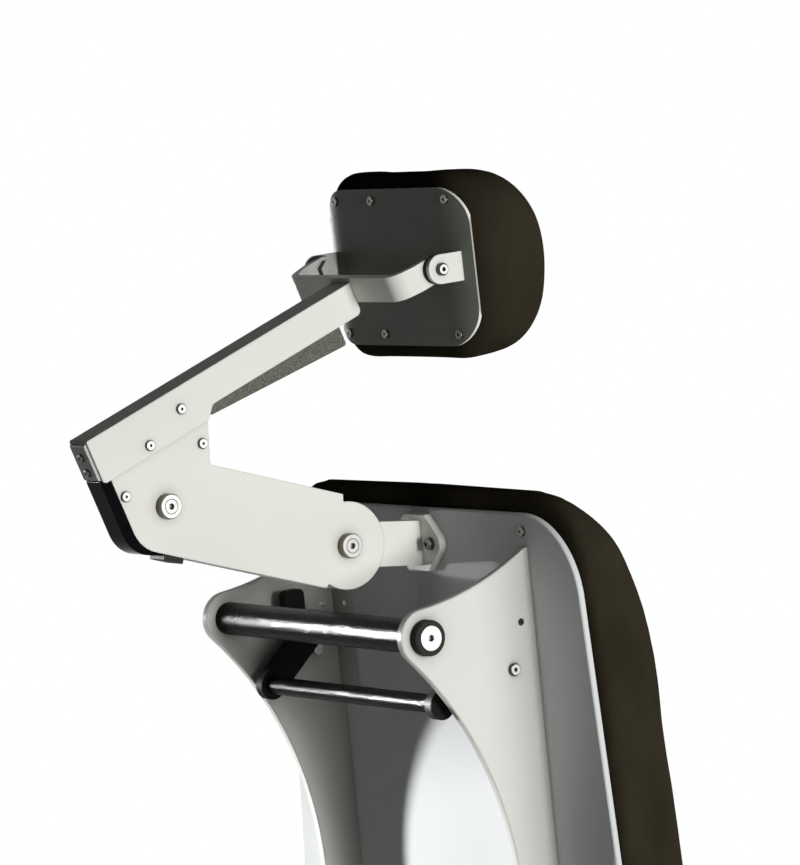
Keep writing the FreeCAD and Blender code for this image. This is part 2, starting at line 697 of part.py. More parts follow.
panel_outer = panel_inner + panel_thickness
outer_seat = Vector(panel_outer, 0, 0)
ring = rod(outer_seat, SIDEWAYS, ring_radius, ring_depth)
ring = ring.cut(rod(outer_seat, SIDEWAYS, ring_hub_radius + shaft_clearance, ring_depth))
ring_bevel = size("ring_bevel", 1.2)
rim = [edge for edge in ring.Edges if abs(edge.CenterOfMass.x - panel_outer - ring_depth) < 0.01
       and edge.Length > 2 * math.pi * (ring_radius - 1)]
ring = ring.makeChamfer(ring_bevel, rim)
solids("handle_end_rings", back_frame, mirrored_pair(ring))
hub = rod(outer_seat, SIDEWAYS, ring_hub_radius, ring_depth + hub_proud)
hub = hub.cut(hex_prism(outer_seat + SIDEWAYS * (ring_depth + hub_proud - hub_socket_depth),
                        SIDEWAYS, hub_socket_radius, hub_socket_depth * 2))
hub = hub.fuse(rod(outer_seat, SIDEWAYS * -1, hub_bolt_radius, hub_bolt_length))
solids("handle_end_hubs", back_frame, mirrored_pair(hub))

# ---------------------------------------------------------------- screws of the backrest
panel_screw_seat = Vector(panel_outer, -panel_screw_setback, panel_screw_level)
panel_nut_depth = size("panel_nut_depth", 6.0)
panel_screw = socket_screw(panel_screw_seat, SIDEWAYS, panel_screw_head, button_depth + 1.2,
                           button_socket * 1.4, panel_screw_radius, panel_thickness + panel_nut_depth)
panel_nut = hex_prism(panel_screw_seat - SIDEWAYS * (panel_thickness + panel_nut_depth), SIDEWAYS,
                      panel_screw_head, panel_nut_depth)
solids("panel_screws", back_frame, mirrored_pair(panel_screw.fuse(panel_nut)))
plate_screw_seat = Vector(plate_screw_spread, -plate_setback, plate_screw_level)
plate_screw = socket_screw(plate_screw_seat, REARWARD, button_head, button_depth,
                           button_socket, button_shank, plate_thickness)
solids("plate_screws", back_frame, mirrored_pair(plate_screw))

# ---------------------------------------------------------------- headrest mount
mount_pivot = flat(-mount_pivot_setback, mount_pivot_level)
flange_face = -plate_setback + flange_thickness
mount_flange = new_body("mount_flange", back_frame)
flange_outline = rounded([(flange_top_half, flange_level + flange_half_height, 2),
                          (-flange_top_half, flange_level + flange_half_height, 2),
                          (-flange_half_width, flange_level, 12),
                          (-flange_top_half, flange_level - flange_half_height, 2),
                          (flange_top_half, flange_level - flange_half_height, 2),
                          (flange_half_width, flange_level, 12)])
flange_holes = [hole(hand * flange_bolt_spread, flange_level, flange_bolt_radius + shaft_clearance)
                for hand in (-1, 1)]
pad(mount_flange, sketch_on(mount_flange, "XZ_Plane", [flange_outline] + flange_holes, plate_setback),
    "flange_thickness", both_ways=False, backward=True)


def mount_bar_outline():
    """Level bar from the flange to a round nose at the headrest's first pivot."""
    slope = math.radians(mount_tilt)
    along = flat(math.cos(slope), math.sin(slope))
    across = flat(-along.y, along.x) * (mount_bar_height / 2)
    top = mount_pivot + across
    low = mount_pivot - across
    top_foot = top - along * ((top.x - flange_face) / along.x)
    low_foot = low - along * ((low.x - flange_face) / along.x)
    nose = mount_pivot + along * (mount_bar_height / 2)
    return [Part.LineSegment(top_foot, top), Part.Arc(top, nose, low),
            Part.LineSegment(low, low_foot), Part.LineSegment(low_foot, top_foot)]


side_plate("mount_bar", back_frame,
           [mount_bar_outline(), hole(mount_pivot.x, mount_pivot.y, pivot_pin_radius + shaft_clearance)],
           "mount_bar_thickness")
flange_bolt = socket_screw(Vector(flange_bolt_spread, flange_face, flange_level), REARWARD,
                           flange_bolt_head, flange_bolt_head_depth, button_socket * 1.5,
                           flange_bolt_radius, flange_thickness + plate_thickness)
solids("flange_bolts", back_frame, mirrored_pair(flange_bolt))

# ================================================================ release bar
bar_axis = flat(-bar_setback, bar_level)
release_pivot = flat(-release_pivot_setback, release_pivot_level)
release_bar = doc.addObject("Part::Cylinder", "release_bar")
release_bar.Label = "release_bar"
release_bar.setExpression("Radius", bound("bar_radius"))
release_bar.setExpression("Height", bound("bar_half_length * 2"))
bar_place = Placement(Vector(-bar_half_length, bar_axis.x, bar_axis.y), Rotation(UPWARD, SIDEWAYS))
keep(release_bar, back_frame.multiply(bar_place))
release_arm_middle = bar_half_length + release_arm_thickness / 2
release_lever_corner = size("release_lever_corner", 6.0)
for label, hand in (("release_arm_left", 1), ("release_arm_right", -1)):
    arm = side_plate(label, back_frame, [capsule(bar_axis, release_pivot, release_arm_width / 2)],
                     "release_arm_thickness", hand * release_arm_middle)
    horn = box_outline(-release_horn_setback - release_horn_width / 2, release_pivot_level,
                       -release_horn_setback + release_horn_width / 2, release_horn_level,
                       release_lever_corner)
    pad(arm, sketch_on(arm, "YZ_Plane", [horn], hand * release_arm_middle), "release_arm_thickness")
    bore = [hole(release_pivot.x, release_pivot.y, release_pin_radius + shaft_clearance)]
    pocket(arm, sketch_on(arm, "YZ_Plane", bore, hand * release_arm_middle),
           "release_arm_thickness * 2")
release_seat = Vector(panel_inner, release_pivot.x, release_pivot.y)
arm_outer = bar_half_length + release_arm_thickness
release_pin = rod(release_seat, SIDEWAYS * -1, release_pin_radius, panel_inner - bar_half_length + 3)
release_pin = release_pin.fuse(rod(release_seat, SIDEWAYS * -1, release_pin_radius * 1.7,
                                   panel_inner - arm_outer - facing_gap))
solids("release_pins", back_frame, mirrored_pair(release_pin.removeSplitter()))

# ================================================================ headrest link
elbow_turn = math.radians(arm_rest + link_rest)
arm_line = flat(-math.cos(elbow_turn), math.sin(elbow_turn))
arm_normal = flat(math.sin(elbow_turn), math.cos(elbow_turn))
arm_lower_rear = arm_top - arm_depth_rear
lobe_level = arm_lower_rear + lobe_overlap


def from_elbow(reach, level):
    """Point of the link's sketch, counted along the arm and square to it from the elbow pivot."""
    return flat(link_length, 0) + arm_line * reach + arm_normal * level


def heel_corner():
    """Where the link's lower edge meets the lobe's rear edge."""
    foot = from_elbow(-lobe_rear, 0)
    return foot - arm_normal * ((foot.y + link_bottom) / arm_normal.y)


def link_outline():
    """Nose round the first pivot, stepped edges, and the lobe round the elbow."""
    step = link_web_start - 2
    nose_height = math.sqrt(link_nose_radius ** 2 - step ** 2)
    neck = link_length - lobe_neck
    rear_top = from_elbow(-lobe_rear, lobe_level)
    front_top = from_elbow(lobe_front, lobe_level)
    heel = heel_corner()
    body = rounded([(link_web_start, link_top, 0), (step, nose_height, 0), (step, -nose_height, 0),
                    (link_web_start, -link_bottom, 0), (heel.x, heel.y, lobe_heel_radius),
                    (rear_top.x, rear_top.y, 0), (front_top.x, front_top.y, 3),
                    (neck, link_top, 4)])
    top_step = flat(step, nose_height)
    low_step = flat(step, -nose_height)
    body = [piece for piece in body
            if abs(piece.StartPoint.x - step) > 1e-6 or abs(piece.EndPoint.x - step) > 1e-6]
    return body + [Part.Arc(top_step, flat(-link_nose_radius, 0), low_step)]


lobe_screw_a = from_elbow(lobe_screw_a_reach, lobe_screw_a_level)
lobe_screw_b = from_elbow(lobe_screw_b_reach, lobe_screw_b_level)
heel = heel_corner()
neck = link_length - lobe_neck
cover_tail = size("cover_tail", -41.0)
cover_tail_reach = size("cover_tail_reach", -24.0)
stop_tab_rear = from_elbow(cover_tail_reach, cover_tail).x - running_gap
beyond = link_length / 2
link_holes = [hole(0, 0, pivot_pin_radius + shaft_clearance),
              hole(link_length, 0, pivot_pin_radius + shaft_clearance)]
for place in (lobe_screw_a, lobe_screw_b):
    link_holes.append(hole(place.x, place.y, button_shank + shaft_clearance))
link_body = side_plate("link_channel", link_frame, [link_outline()] + link_holes, "link_width")
inside = rounded([(link_web_start, link_top - link_wall, 0), (link_web_start, beyond, 0),
                  (-beyond, beyond, 0), (-beyond, -beyond, 0), (link_web_start, -beyond, 0),
                  (link_web_start, link_wall - link_bottom, 0),
                  (stop_tab_rear - stop_tab_length, link_wall - link_bottom, 0),
                  (stop_tab_rear - stop_tab_length, -beyond, 0), (link_length + beyond, -beyond, 0),
                  (link_length + beyond, 2 * beyond, 0), (neck - 2, 2 * beyond, 0),
                  (neck - 2, link_top - link_wall, 0)])
pocket(link_body, sketch_on(link_body, "YZ_Plane", [inside]), "link_width - 2 * link_wall")

link_half = link_width / 2
disc_seat = Vector(link_half, 0, 0)


def pivot_disc():
    """Bolt head of a pivot: a thick washer with a ring groove and a hex socket."""
    disc = rod(disc_seat, SIDEWAYS, pivot_disc_radius, pivot_disc_depth)
    face = link_half + pivot_disc_depth
    rim = [edge for edge in disc.Edges if abs(edge.CenterOfMass.x - face) < 0.01]
    disc = disc.makeChamfer(1.0, rim)
    groove_foot = Vector(face - pivot_groove, 0, 0)
    groove = rod(groove_foot, SIDEWAYS, pivot_head_radius + pivot_groove, 2 * pivot_groove)
    groove = groove.cut(rod(groove_foot, SIDEWAYS, pivot_head_radius, 2 * pivot_groove))
    socket = hex_prism(Vector(face - pivot_socket_depth, 0, 0), SIDEWAYS, pivot_socket_radius,
                       2 * pivot_socket_depth)
    return disc.cut([groove, socket])


def moved(shapes, shift):
    """Copies of shapes at another place."""
    return [shape.translated(shift) for shape in shapes]


disc_pair = mirrored_pair(pivot_disc())
pivot_pin = rod(Vector(-link_half, 0, 0), SIDEWAYS, pivot_pin_radius, link_width)
elbow_shift = Vector(0, link_length, 0)
solids("pivot_discs", link_frame, disc_pair + moved(disc_pair, elbow_shift))
solids("pivot_pins", link_frame, [pivot_pin] + moved([pivot_pin], elbow_shift))


def through_screw(place, half_width, shank_radius, head):
    """Two button heads on one shank that runs across a channel."""
    left = socket_screw(Vector(half_width, place.x, place.y), SIDEWAYS, head, button_depth,
                        button_socket, shank_radius, half_width)
    return left.fuse(left.mirror(Vector(0, 0, 0), SIDEWAYS)).removeSplitter()


lobe_screws = [through_screw(lobe_screw_a, link_half, button_shank, button_head),
               through_screw(lobe_screw_b, link_half, button_shank, button_head)]
solids("lobe_screws", link_frame, lobe_screws)
lobe_spacer = rod(Vector(link_wall - link_half, lobe_screw_a.x, lobe_screw_a.y), SIDEWAYS,
                  lobe_spacer_radius, link_width - 2 * link_wall)
lobe_spacer = lobe_spacer.cut(rod(Vector(-link_half, lobe_screw_a.x, lobe_screw_a.y), SIDEWAYS,
                                  button_shank + shaft_clearance, link_width))
solids("lobe_spacer", link_frame, [lobe_spacer])

# Glossy cover that closes the elbow's open back.
cover_rear_line = -lobe_rear - cover_proud
cover_top = arm_top - arm_wall - end_cap_height - 2 * running_gap
cover_bend = size("cover_bend", 34.0)


def elbow_outline(corners):
    """Closed outline of (reach, level, radius) corners counted from the elbow pivot."""
    placed = [(from_elbow(reach, level), radius) for reach, level, radius in corners]
    return rounded([(point.x, point.y, radius) for point, radius in placed])


tail_level = -(link_bottom + cover_tail_reach * math.sin(elbow_turn)) / math.cos(elbow_turn)
heel_level = -(link_bottom - lobe_rear * math.sin(elbow_turn)) / math.cos(elbow_turn)
shell_outline = elbow_outline([(cover_rear_line, cover_top, 2), (cover_rear_line, cover_tail + 19, cover_bend),
                               (cover_tail_reach, cover_tail, 0), (cover_tail_reach, tail_level, 0),
                               (-lobe_rear, heel_level, lobe_heel_radius), (-lobe_rear, cover_top, 0)])
tongue_outline = elbow_outline([(-lobe_rear - 2, cover_top, 0), (-lobe_rear - 2, 0, 0),
                                (-lobe_rear + cover_tongue, cover_tail / 2, 0),
                                (-lobe_rear + cover_tongue, cover_top, 0)])
elbow_cover = side_plate("elbow_cover", link_frame, [shell_outline], "link_width")
pad(elbow_cover, sketch_on(elbow_cover, "YZ_Plane", [tongue_outline]),
    "link_width - 2 * link_wall - 2 * facing_gap")
cover_hole = hole(lobe_screw_b.x, lobe_screw_b.y, button_shank + shaft_clearance)
pocket(elbow_cover, sketch_on(elbow_cover, "YZ_Plane", [cover_hole]), "link_width")

tab = box_outline(stop_tab_rear - stop_tab_length, -link_bottom - stop_tab_height,
                  stop_tab_rear, -link_bottom, 1.5)
side_plate("link_stop", link_frame, [tab], "link_width")

# ================================================================ headrest arm
def arm_point(reach, level):
    """Point of a sketch in the arm's frame: reach is counted forward of the elbow."""
    return flat(-reach, level)


def arm_corners(corners):
    """Closed outline of (reach, level, radius) corners in the arm's frame."""
    return rounded([(-reach, level, radius) for reach, level, radius in corners])


arm_half = link_width / 2 + facing_gap + arm_wall
arm_screw_a = arm_point(arm_screw_a_reach, arm_screw_a_level)
arm_screw_b = arm_point(arm_screw_b_reach, arm_screw_b_level)
arm_holes = [hole(place.x, place.y, button_shank + shaft_clearance)
             for place in (arm_screw_a, arm_screw_b)]
arm_outline = arm_corners([(-arm_rear, arm_top, 2), (-arm_rear, arm_lower_rear, 4),
                           (arm_flare_start, arm_lower_rear, arm_flare_radius * 0.4),
                           (arm_flare_end, arm_top - arm_depth_front, arm_flare_radius * 0.4),
                           (arm_front, arm_top - arm_depth_front, 6), (arm_front, arm_top, 0)])
arm_channel = side_plate("arm_channel", arm_frame, [arm_outline] + arm_holes,
                         "link_width + 2 * facing_gap + 2 * arm_wall")
arm_cavity = box_outline(-arm_front + arm_wall, 0, arm_rear * 2, arm_top - arm_wall)
pocket(arm_channel, sketch_on(arm_channel, "YZ_Plane", [arm_cavity]), "link_width + 2 * facing_gap")

cap_top = arm_top - arm_wall
cap_bottom = cap_top - end_cap_height
cap_rear = arm_rear + end_cap_proud
cap_outline = rounded([(cap_rear - end_cap_depth, cap_top, 0), (cap_rear - end_cap_depth, cap_bottom, 0),
                       (cap_rear, cap_bottom, 2), (cap_rear, cap_top, 2)])
cap_screw_radius = size("cap_screw_radius", 2.0)
end_cap = side_plate("arm_end_cap", arm_frame, [cap_outline], "link_width + 2 * facing_gap")
cap_middle = (cap_top + cap_bottom) / 2 - 2
cap_holes = [hole(0, cap_middle + hand * cap_screw_pitch / 2, cap_screw_radius + shaft_clearance)
             for hand in (-1, 1)]
pocket(end_cap, sketch_on(end_cap, "XZ_Plane", cap_holes, -cap_rear + end_cap_depth),
       "end_cap_depth * 2")
solids("end_cap_screws", arm_frame,
       [socket_screw(Vector(0, cap_rear, cap_middle + hand * cap_screw_pitch / 2), REARWARD, cap_screw_head,
                     button_depth, button_socket, cap_screw_radius, end_cap_depth) for hand in (-1, 1)])

lug_ring = size("lug_ring", 24.0)
lug_half = size("lug_half", 20.0)


def lug_outline():
    """Ring round the elbow pin with a strap that rises to the roof of the arm."""
    up = flat(*arm_screw_b[:2]).normalize()
    across = flat(up.y, -up.x)
    foot = up * math.sqrt(lug_ring ** 2 - lug_half ** 2)
    ends = []
    for hand in (1, -1):
        low = foot + across * (hand * lug_half)
        ends.append((low, low + up * ((arm_top - arm_wall - low.y) / up.y)))
    (first, first_top), (last, last_top) = ends
    return [Part.LineSegment(first, first_top), Part.LineSegment(first_top, last_top),
            Part.LineSegment(last_top, last), Part.Arc(last, up * -lug_ring, first)]


side_plate("arm_lug", arm_frame,
           [lug_outline(), hole(0, 0, pivot_pin_radius + shaft_clearance),
            hole(arm_screw_b.x, arm_screw_b.y, button_shank + shaft_clearance)], "lug_thickness")
solids("arm_screws", arm_frame, [through_screw(place, arm_half, button_shank, button_head)
                                 for place in (arm_screw_a, arm_screw_b)])

# Release lever under the arm: a wide grip and a narrow tongue that swings on a screw.
lever_top_rear = size("lever_top_rear", 82.0)
lever = side_plate("arm_release_lever", arm_frame,
                   [arm_corners([(lever_rear_reach, lever_low_rear, 5), (lever_reach, lever_low_front, 3),
                                 (lever_reach, lever_low_front + lever_depth_front, 4),
                                 (lever_rear_reach, lever_top_rear, 3)])], "lever_width")
boss_left = arm_screw_a_reach - lever_boss
tongue = arm_corners([(boss_left, arm_screw_a_level + lever_boss, lever_boss * 0.9),
                      (boss_left, arm_screw_a_level - lever_boss, lever_boss * 0.9),
                      (lever_rear_reach + 6, arm_screw_a_level - lever_boss, 0),
                      (lever_rear_reach + 6, lever_top_rear - 1, 0)])
pad(lever, sketch_on(lever, "YZ_Plane", [tongue]), "lever_tongue")
lever_bore = hole(arm_screw_a.x, arm_screw_a.y, button_shank + shaft_clearance)
pocket(lever, sketch_on(lever, "YZ_Plane", [lever_bore]), "lever_width")

# ---------------------------------------------------------------- yoke
yoke_end = ear_reach + yoke_height / 2
yoke_knee = size("yoke_knee", 25.0)
yoke = new_body("yoke", arm_frame)


def yoke_side(half, rear, bend):
    """One side of the yoke's plan: bend at the rear, knee, straight leg."""
    lean = yoke_spread - yoke_half_width
    return [(half, -rear, bend), (half + lean, -arm_front - yoke_knee, bend), (half + lean, -yoke_end, 0)]


outer_leg = yoke_side(yoke_half_width, arm_front, yoke_bend)
inner_leg = yoke_side(yoke_half_width - yoke_thickness, arm_front + yoke_thickness,
                      yoke_bend - yoke_thickness)
yoke_plan = outer_leg + inner_leg[::-1] + [(-x, y, radius) for x, y, radius in inner_leg]
yoke_plan = yoke_plan + [(-x, y, radius) for x, y, radius in outer_leg[::-1]]
yoke_pad = pad(yoke, sketch_on(yoke, "XY_Plane", [rounded(yoke_plan)], ear_level), "yoke_height")
doc.recompute()
leg_ends = ["Edge%d" % (index + 1) for index, edge in enumerate(yoke_pad.Shape.Edges)
            if abs(edge.CenterOfMass.y + yoke_end) < 0.01
            and abs(abs(edge.CenterOfMass.z - ear_level) - yoke_height / 2) < 0.01]
yoke_round = yoke.newObject("PartDesign::Fillet", "yoke_fillet")
yoke_round.Base = (yoke_pad, leg_ends)
yoke_round.Radius = yoke_height * 0.49
yoke_round.setExpression("Radius", bound("yoke_height * 0.49"))
pocket(yoke, sketch_on(yoke, "YZ_Plane", [hole(-ear_reach, ear_level, ear_bolt_radius + shaft_clearance)]),
       "yoke_spread * 3")

# ---------------------------------------------------------------- headrest hinge
disc_outer = yoke_spread + friction_disc_depth
ear_inner = disc_outer + facing_gap
ear_outer = ear_inner + ear_thickness
leg_face = Vector(yoke_spread, -ear_reach, ear_level)
friction_disc = rod(leg_face, SIDEWAYS, friction_disc_radius, friction_disc_depth)
friction_disc = friction_disc.cut(rod(leg_face, SIDEWAYS, ear_bolt_radius + shaft_clearance,
                                      friction_disc_depth))
solids("friction_discs", arm_frame, mirrored_pair(friction_disc))
bolt_seat = Vector(ear_outer + facing_gap, -ear_reach, ear_level)
bolt_reach = bolt_seat.x - yoke_spread + yoke_thickness
ear_bolt = socket_screw(bolt_seat, SIDEWAYS, ear_bolt_head, ear_bolt_head_depth, button_socket * 1.5,
                        ear_bolt_radius, bolt_reach + ear_nut_depth)
ear_nut = hex_prism(bolt_seat - SIDEWAYS * (bolt_reach + ear_nut_depth), SIDEWAYS, ear_nut_radius,
                    ear_nut_depth)
solids("ear_bolts", arm_frame, mirrored_pair(ear_bolt.fuse(ear_nut).removeSplitter()))

# ================================================================ headrest
wing_centre = -head_plate_setback - head_wing_radius


def wing_place(across, shift):
    """Plan point on the headrest's curve, set back by a shift, and its outward direction."""
    beyond_flat = max(abs(across) - head_plate_flat, 0)
    turn = math.asin(beyond_flat / head_wing_radius)
    hand = 1 if across > 0 else -1
    outward = Vector(hand * math.sin(turn), math.cos(turn), 0)
    start = hand * min(abs(across), head_plate_flat)
    return Vector(start, wing_centre, 0) + outward * (head_wing_radius - shift), outward


def curve_line(half, shift):
    """Right-to-left curve of the plate in plan: wing, flat, wing."""
    tip = wing_place(half, shift)[0]
    knee = wing_place(head_plate_flat, shift)[0]
    middle = wing_place((half + head_plate_flat) / 2, shift)[0]
    left = [flat(-point.x, point.y) for point in (tip, middle, knee)]
    return [Part.Arc(tip, middle, knee), Part.LineSegment(knee, left[2]),
            Part.Arc(left[2], left[1], left[0])], tip, left[0]


def between_curves(half, near_shift, far_shift):
    """Closed plan outline between two parallel curves."""
    rear_line, rear_right, rear_left = curve_line(half, near_shift)
    front_line, front_right, front_left = curve_line(half, far_shift)
    return rear_line + front_line + [Part.LineSegment(rear_right, front_right),
                                     Part.LineSegment(rear_left, front_left)]


def trim_front_view(body, half, low, high, radius, reach):
    """Cut a body to a rounded rectangle seen from the front."""
    window = box_outline(-half, low, half, high, radius)
    around = box_outline(-half * 2, low * 2, half * 2, high * 2)
    pocket(body, sketch_on(body, "XZ_Plane", [around, window]), reach)


head_plate = new_body("headrest_plate", head_frame)
pad(head_plate, sketch_on(head_plate, "XY_Plane",
                          [between_curves(head_plate_half_width, 0, head_plate_thickness)]),
    "(head_plate_top - head_plate_bottom) * 1.2")
trim_front_view(head_plate, head_plate_half_width, head_plate_bottom, head_plate_top,
                head_plate_radius, "head_plate_setback * 8")


def head_screw(across, level):
    """Button screw square to the rear of the headrest plate."""
    seat, outward = wing_place(across, 0)
    return socket_screw(Vector(seat.x, seat.y, level), outward, button_head * 0.9, button_depth * 0.8,
                        button_socket, button_shank * 0.8, head_plate_thickness)


head_screws = [head_screw(across, level)
               for level in (head_screw_level_low, head_screw_level_top)
               for across in (-head_screw_spread, head_screw_middle, head_screw_spread)]
solids("headrest_screws", head_frame, head_screws)
screw_holes = [hole(wing_place(across, head_plate_thickness / 2)[0].x, level, button_shank + facing_gap)
               for level in (head_screw_level_low, head_screw_level_top)
               for across in (-head_screw_spread, head_screw_middle, head_screw_spread)]
pocket(head_plate, sketch_on(head_plate, "XZ_Plane", screw_holes), "head_plate_setback * 8")

for label, hand in (("headrest_ear_left", 1), ("headrest_ear_right", -1)):
    ear_outline = [Part.Arc(flat(0, -ear_radius), flat(ear_radius, 0), flat(0, ear_radius)),
                   Part.LineSegment(flat(0, ear_radius), flat(-head_plate_setback * 2, ear_radius)),
                   Part.LineSegment(flat(-head_plate_setback * 2, ear_radius),
                                    flat(-head_plate_setback * 2, -ear_radius)),
                   Part.LineSegment(flat(-head_plate_setback * 2, -ear_radius), flat(0, -ear_radius))]
    ear = side_plate(label, head_frame, [ear_outline, hole(0, 0, ear_bolt_radius + shaft_clearance)],
                     "ear_thickness", hand * (ear_inner + ear_thickness / 2))
    pocket(ear, sketch_on(ear, "XY_Plane",
                          [between_curves(head_plate_half_width, 0, head_plate_setback * 3)]),
           "ear_radius * 3")

head_pad_middle = size("head_pad_middle", 74.0)
head_cushion = new_body("headrest_cushion", head_frame)
cushion_shift = head_plate_thickness + running_gap
rear_line, rear_right, rear_left = curve_line(head_pad_half_width, cushion_shift)
front_y = -head_plate_setback - head_plate_thickness - head_pad_depth
front_right = flat(rear_right.x, front_y)
front_left = flat(rear_left.x, front_y)
dip = flat(0, -head_plate_setback - head_plate_thickness - head_pad_middle)
cushion_plan = rear_line + [Part.LineSegment(rear_right, front_right), Part.Arc(front_right, dip, front_left),
                            Part.LineSegment(front_left, rear_left)]
pad(head_cushion, sketch_on(head_cushion, "XY_Plane", [cushion_plan]),
    "(head_pad_top - head_pad_bottom) * 1.5")
trim_front_view(head_cushion, rear_right.x, head_pad_bottom, head_pad_top, head_pad_corner,
                "head_pad_depth * 4")

# ================================================================ seat
pad_bottom = seat_top - seat_pad_thickness
pan_bottom = pad_bottom - pan_thickness
rail_bottom = pan_bottom - rail_height
ear_middle = panel_inner - hinge_ear_gap - hinge_ear_thickness / 2
rail_offset = ear_middle - (hinge_ear_thickness + rail_width) / 2
seat_cushion = new_body("seat_cushion", chair_frame)
seat_plan = box_outline(-seat_half_width, seat_front, seat_half_width, seat_rear, seat_corner)
seat_block = pad(seat_cushion, sketch_on(seat_cushion, "XY_Plane", [seat_plan], pad_bottom),
                 "seat_pad_thickness", both_ways=False)
doc.recompute()
seat_rim = ["Edge%d" % (index + 1) for index, edge in enumerate(seat_block.Shape.Edges)
            if min(vertex.Point.z for vertex in edge.Vertexes) > seat_top - 0.01]
seat_round = seat_cushion.newObject("PartDesign::Fillet", "seat_cushion_fillet")
seat_round.Base = (seat_block, seat_rim)
seat_round.Radius = seat_pad_round
seat_round.setExpression("Radius", bound("seat_pad_round"))
seat_pan = new_body("seat_pan", chair_frame)
pan_plan = box_outline(-seat_half_width + pan_inset, seat_front + pan_inset,
                       seat_half_width - pan_inset, seat_rear - pan_inset, seat_corner - pan_inset)
pad(seat_pan, sketch_on(seat_pan, "XY_Plane", [pan_plan], pan_bottom), "pan_thickness", both_ways=False)

# Welded frame: two long rails, cross members over the column, and ears for the recline hinge.
recline_world = back_frame.multVec(Vector(0, recline_axis.x, recline_axis.y))
recline_spot = flat(recline_world.y, recline_world.z)
seat_frame = new_body("seat_frame", chair_frame)
rail_side = box_outline(rail_front, rail_bottom, rail_rear, pan_bottom, 4)
for hand in (1, -1):
    pad(seat_frame, sketch_on(seat_frame, "YZ_Plane", [rail_side], hand * rail_offset), "rail_width")
cross_half = size("cross_half", 15.0)
cross_height = size("cross_height", 36.0)
cross_front_inset = size("cross_front_inset", 90.0)
cross_rear_inset = size("cross_rear_inset", 60.0)
cross_middle = size("cross_middle", 60.0)
cross_places = [rail_front + cross_front_inset, -cross_middle, cross_middle, rail_rear - cross_rear_inset]
cross_outlines = [box_outline(place - cross_half, rail_bottom, place + cross_half,
                              rail_bottom + cross_height, 3) for place in cross_places]
pad(seat_frame, sketch_on(seat_frame, "YZ_Plane", cross_outlines), "cross_length")
ear_foot = flat(rail_rear, rail_bottom)
ear_length = size("ear_length", 70.0)
ear_shoulder = flat(rail_rear - ear_length, pan_bottom)
ear_radius_rear = recline_boss_radius - 2
low_touch = tangent_from(ear_foot, recline_spot, ear_radius_rear)
high_touch = tangent_from(ear_shoulder, recline_spot, ear_radius_rear, -1)
far_side = recline_spot + flat(math.cos(math.radians(50)), math.sin(math.radians(50))) * ear_radius_rear
hinge_ear = [Part.Arc(low_touch, far_side, high_touch), Part.LineSegment(high_touch, ear_shoulder),
             Part.LineSegment(ear_shoulder, flat(rail_rear - ear_length, rail_bottom)),
             Part.LineSegment(flat(rail_rear - ear_length, rail_bottom), ear_foot),
             Part.LineSegment(ear_foot, low_touch)]
recline_bore = hole(recline_spot.x, recline_spot.y, recline_pin_radius + shaft_clearance)
for hand in (1, -1):
    pad(seat_frame, sketch_on(seat_frame, "YZ_Plane", [hinge_ear, recline_bore], hand * ear_middle),
        "hinge_ear_thickness")
leg_bore = hole(leg_pivot_place, leg_pivot_level, leg_pin_radius + shaft_clearance)
pocket(seat_frame, sketch_on(seat_frame, "YZ_Plane", [leg_bore]), "seat_half_width * 2")


def headed_pin(seat, axis, radius, length, head, head_depth):
    """Plain pin with a chamfered round head."""
    top = rod(seat, axis, head, head_depth)
    rim = [edge for edge in top.Edges if (edge.CenterOfMass - seat).dot(axis) > head_depth - 0.01]
    top = top.makeChamfer(1.0, rim)
    return top.fuse(rod(seat, axis * -1, radius, length)).removeSplitter()


panel_face = panel_outer + facing_gap
recline_seat = Vector(panel_face, recline_spot.x, recline_spot.y)
recline_pin = headed_pin(recline_seat, SIDEWAYS, recline_pin_radius,
                         panel_face - ear_middle + hinge_ear_thickness / 2, recline_pin_head,
                         recline_pin_head_depth)
solids("recline_pins", chair_frame, mirrored_pair(recline_pin))

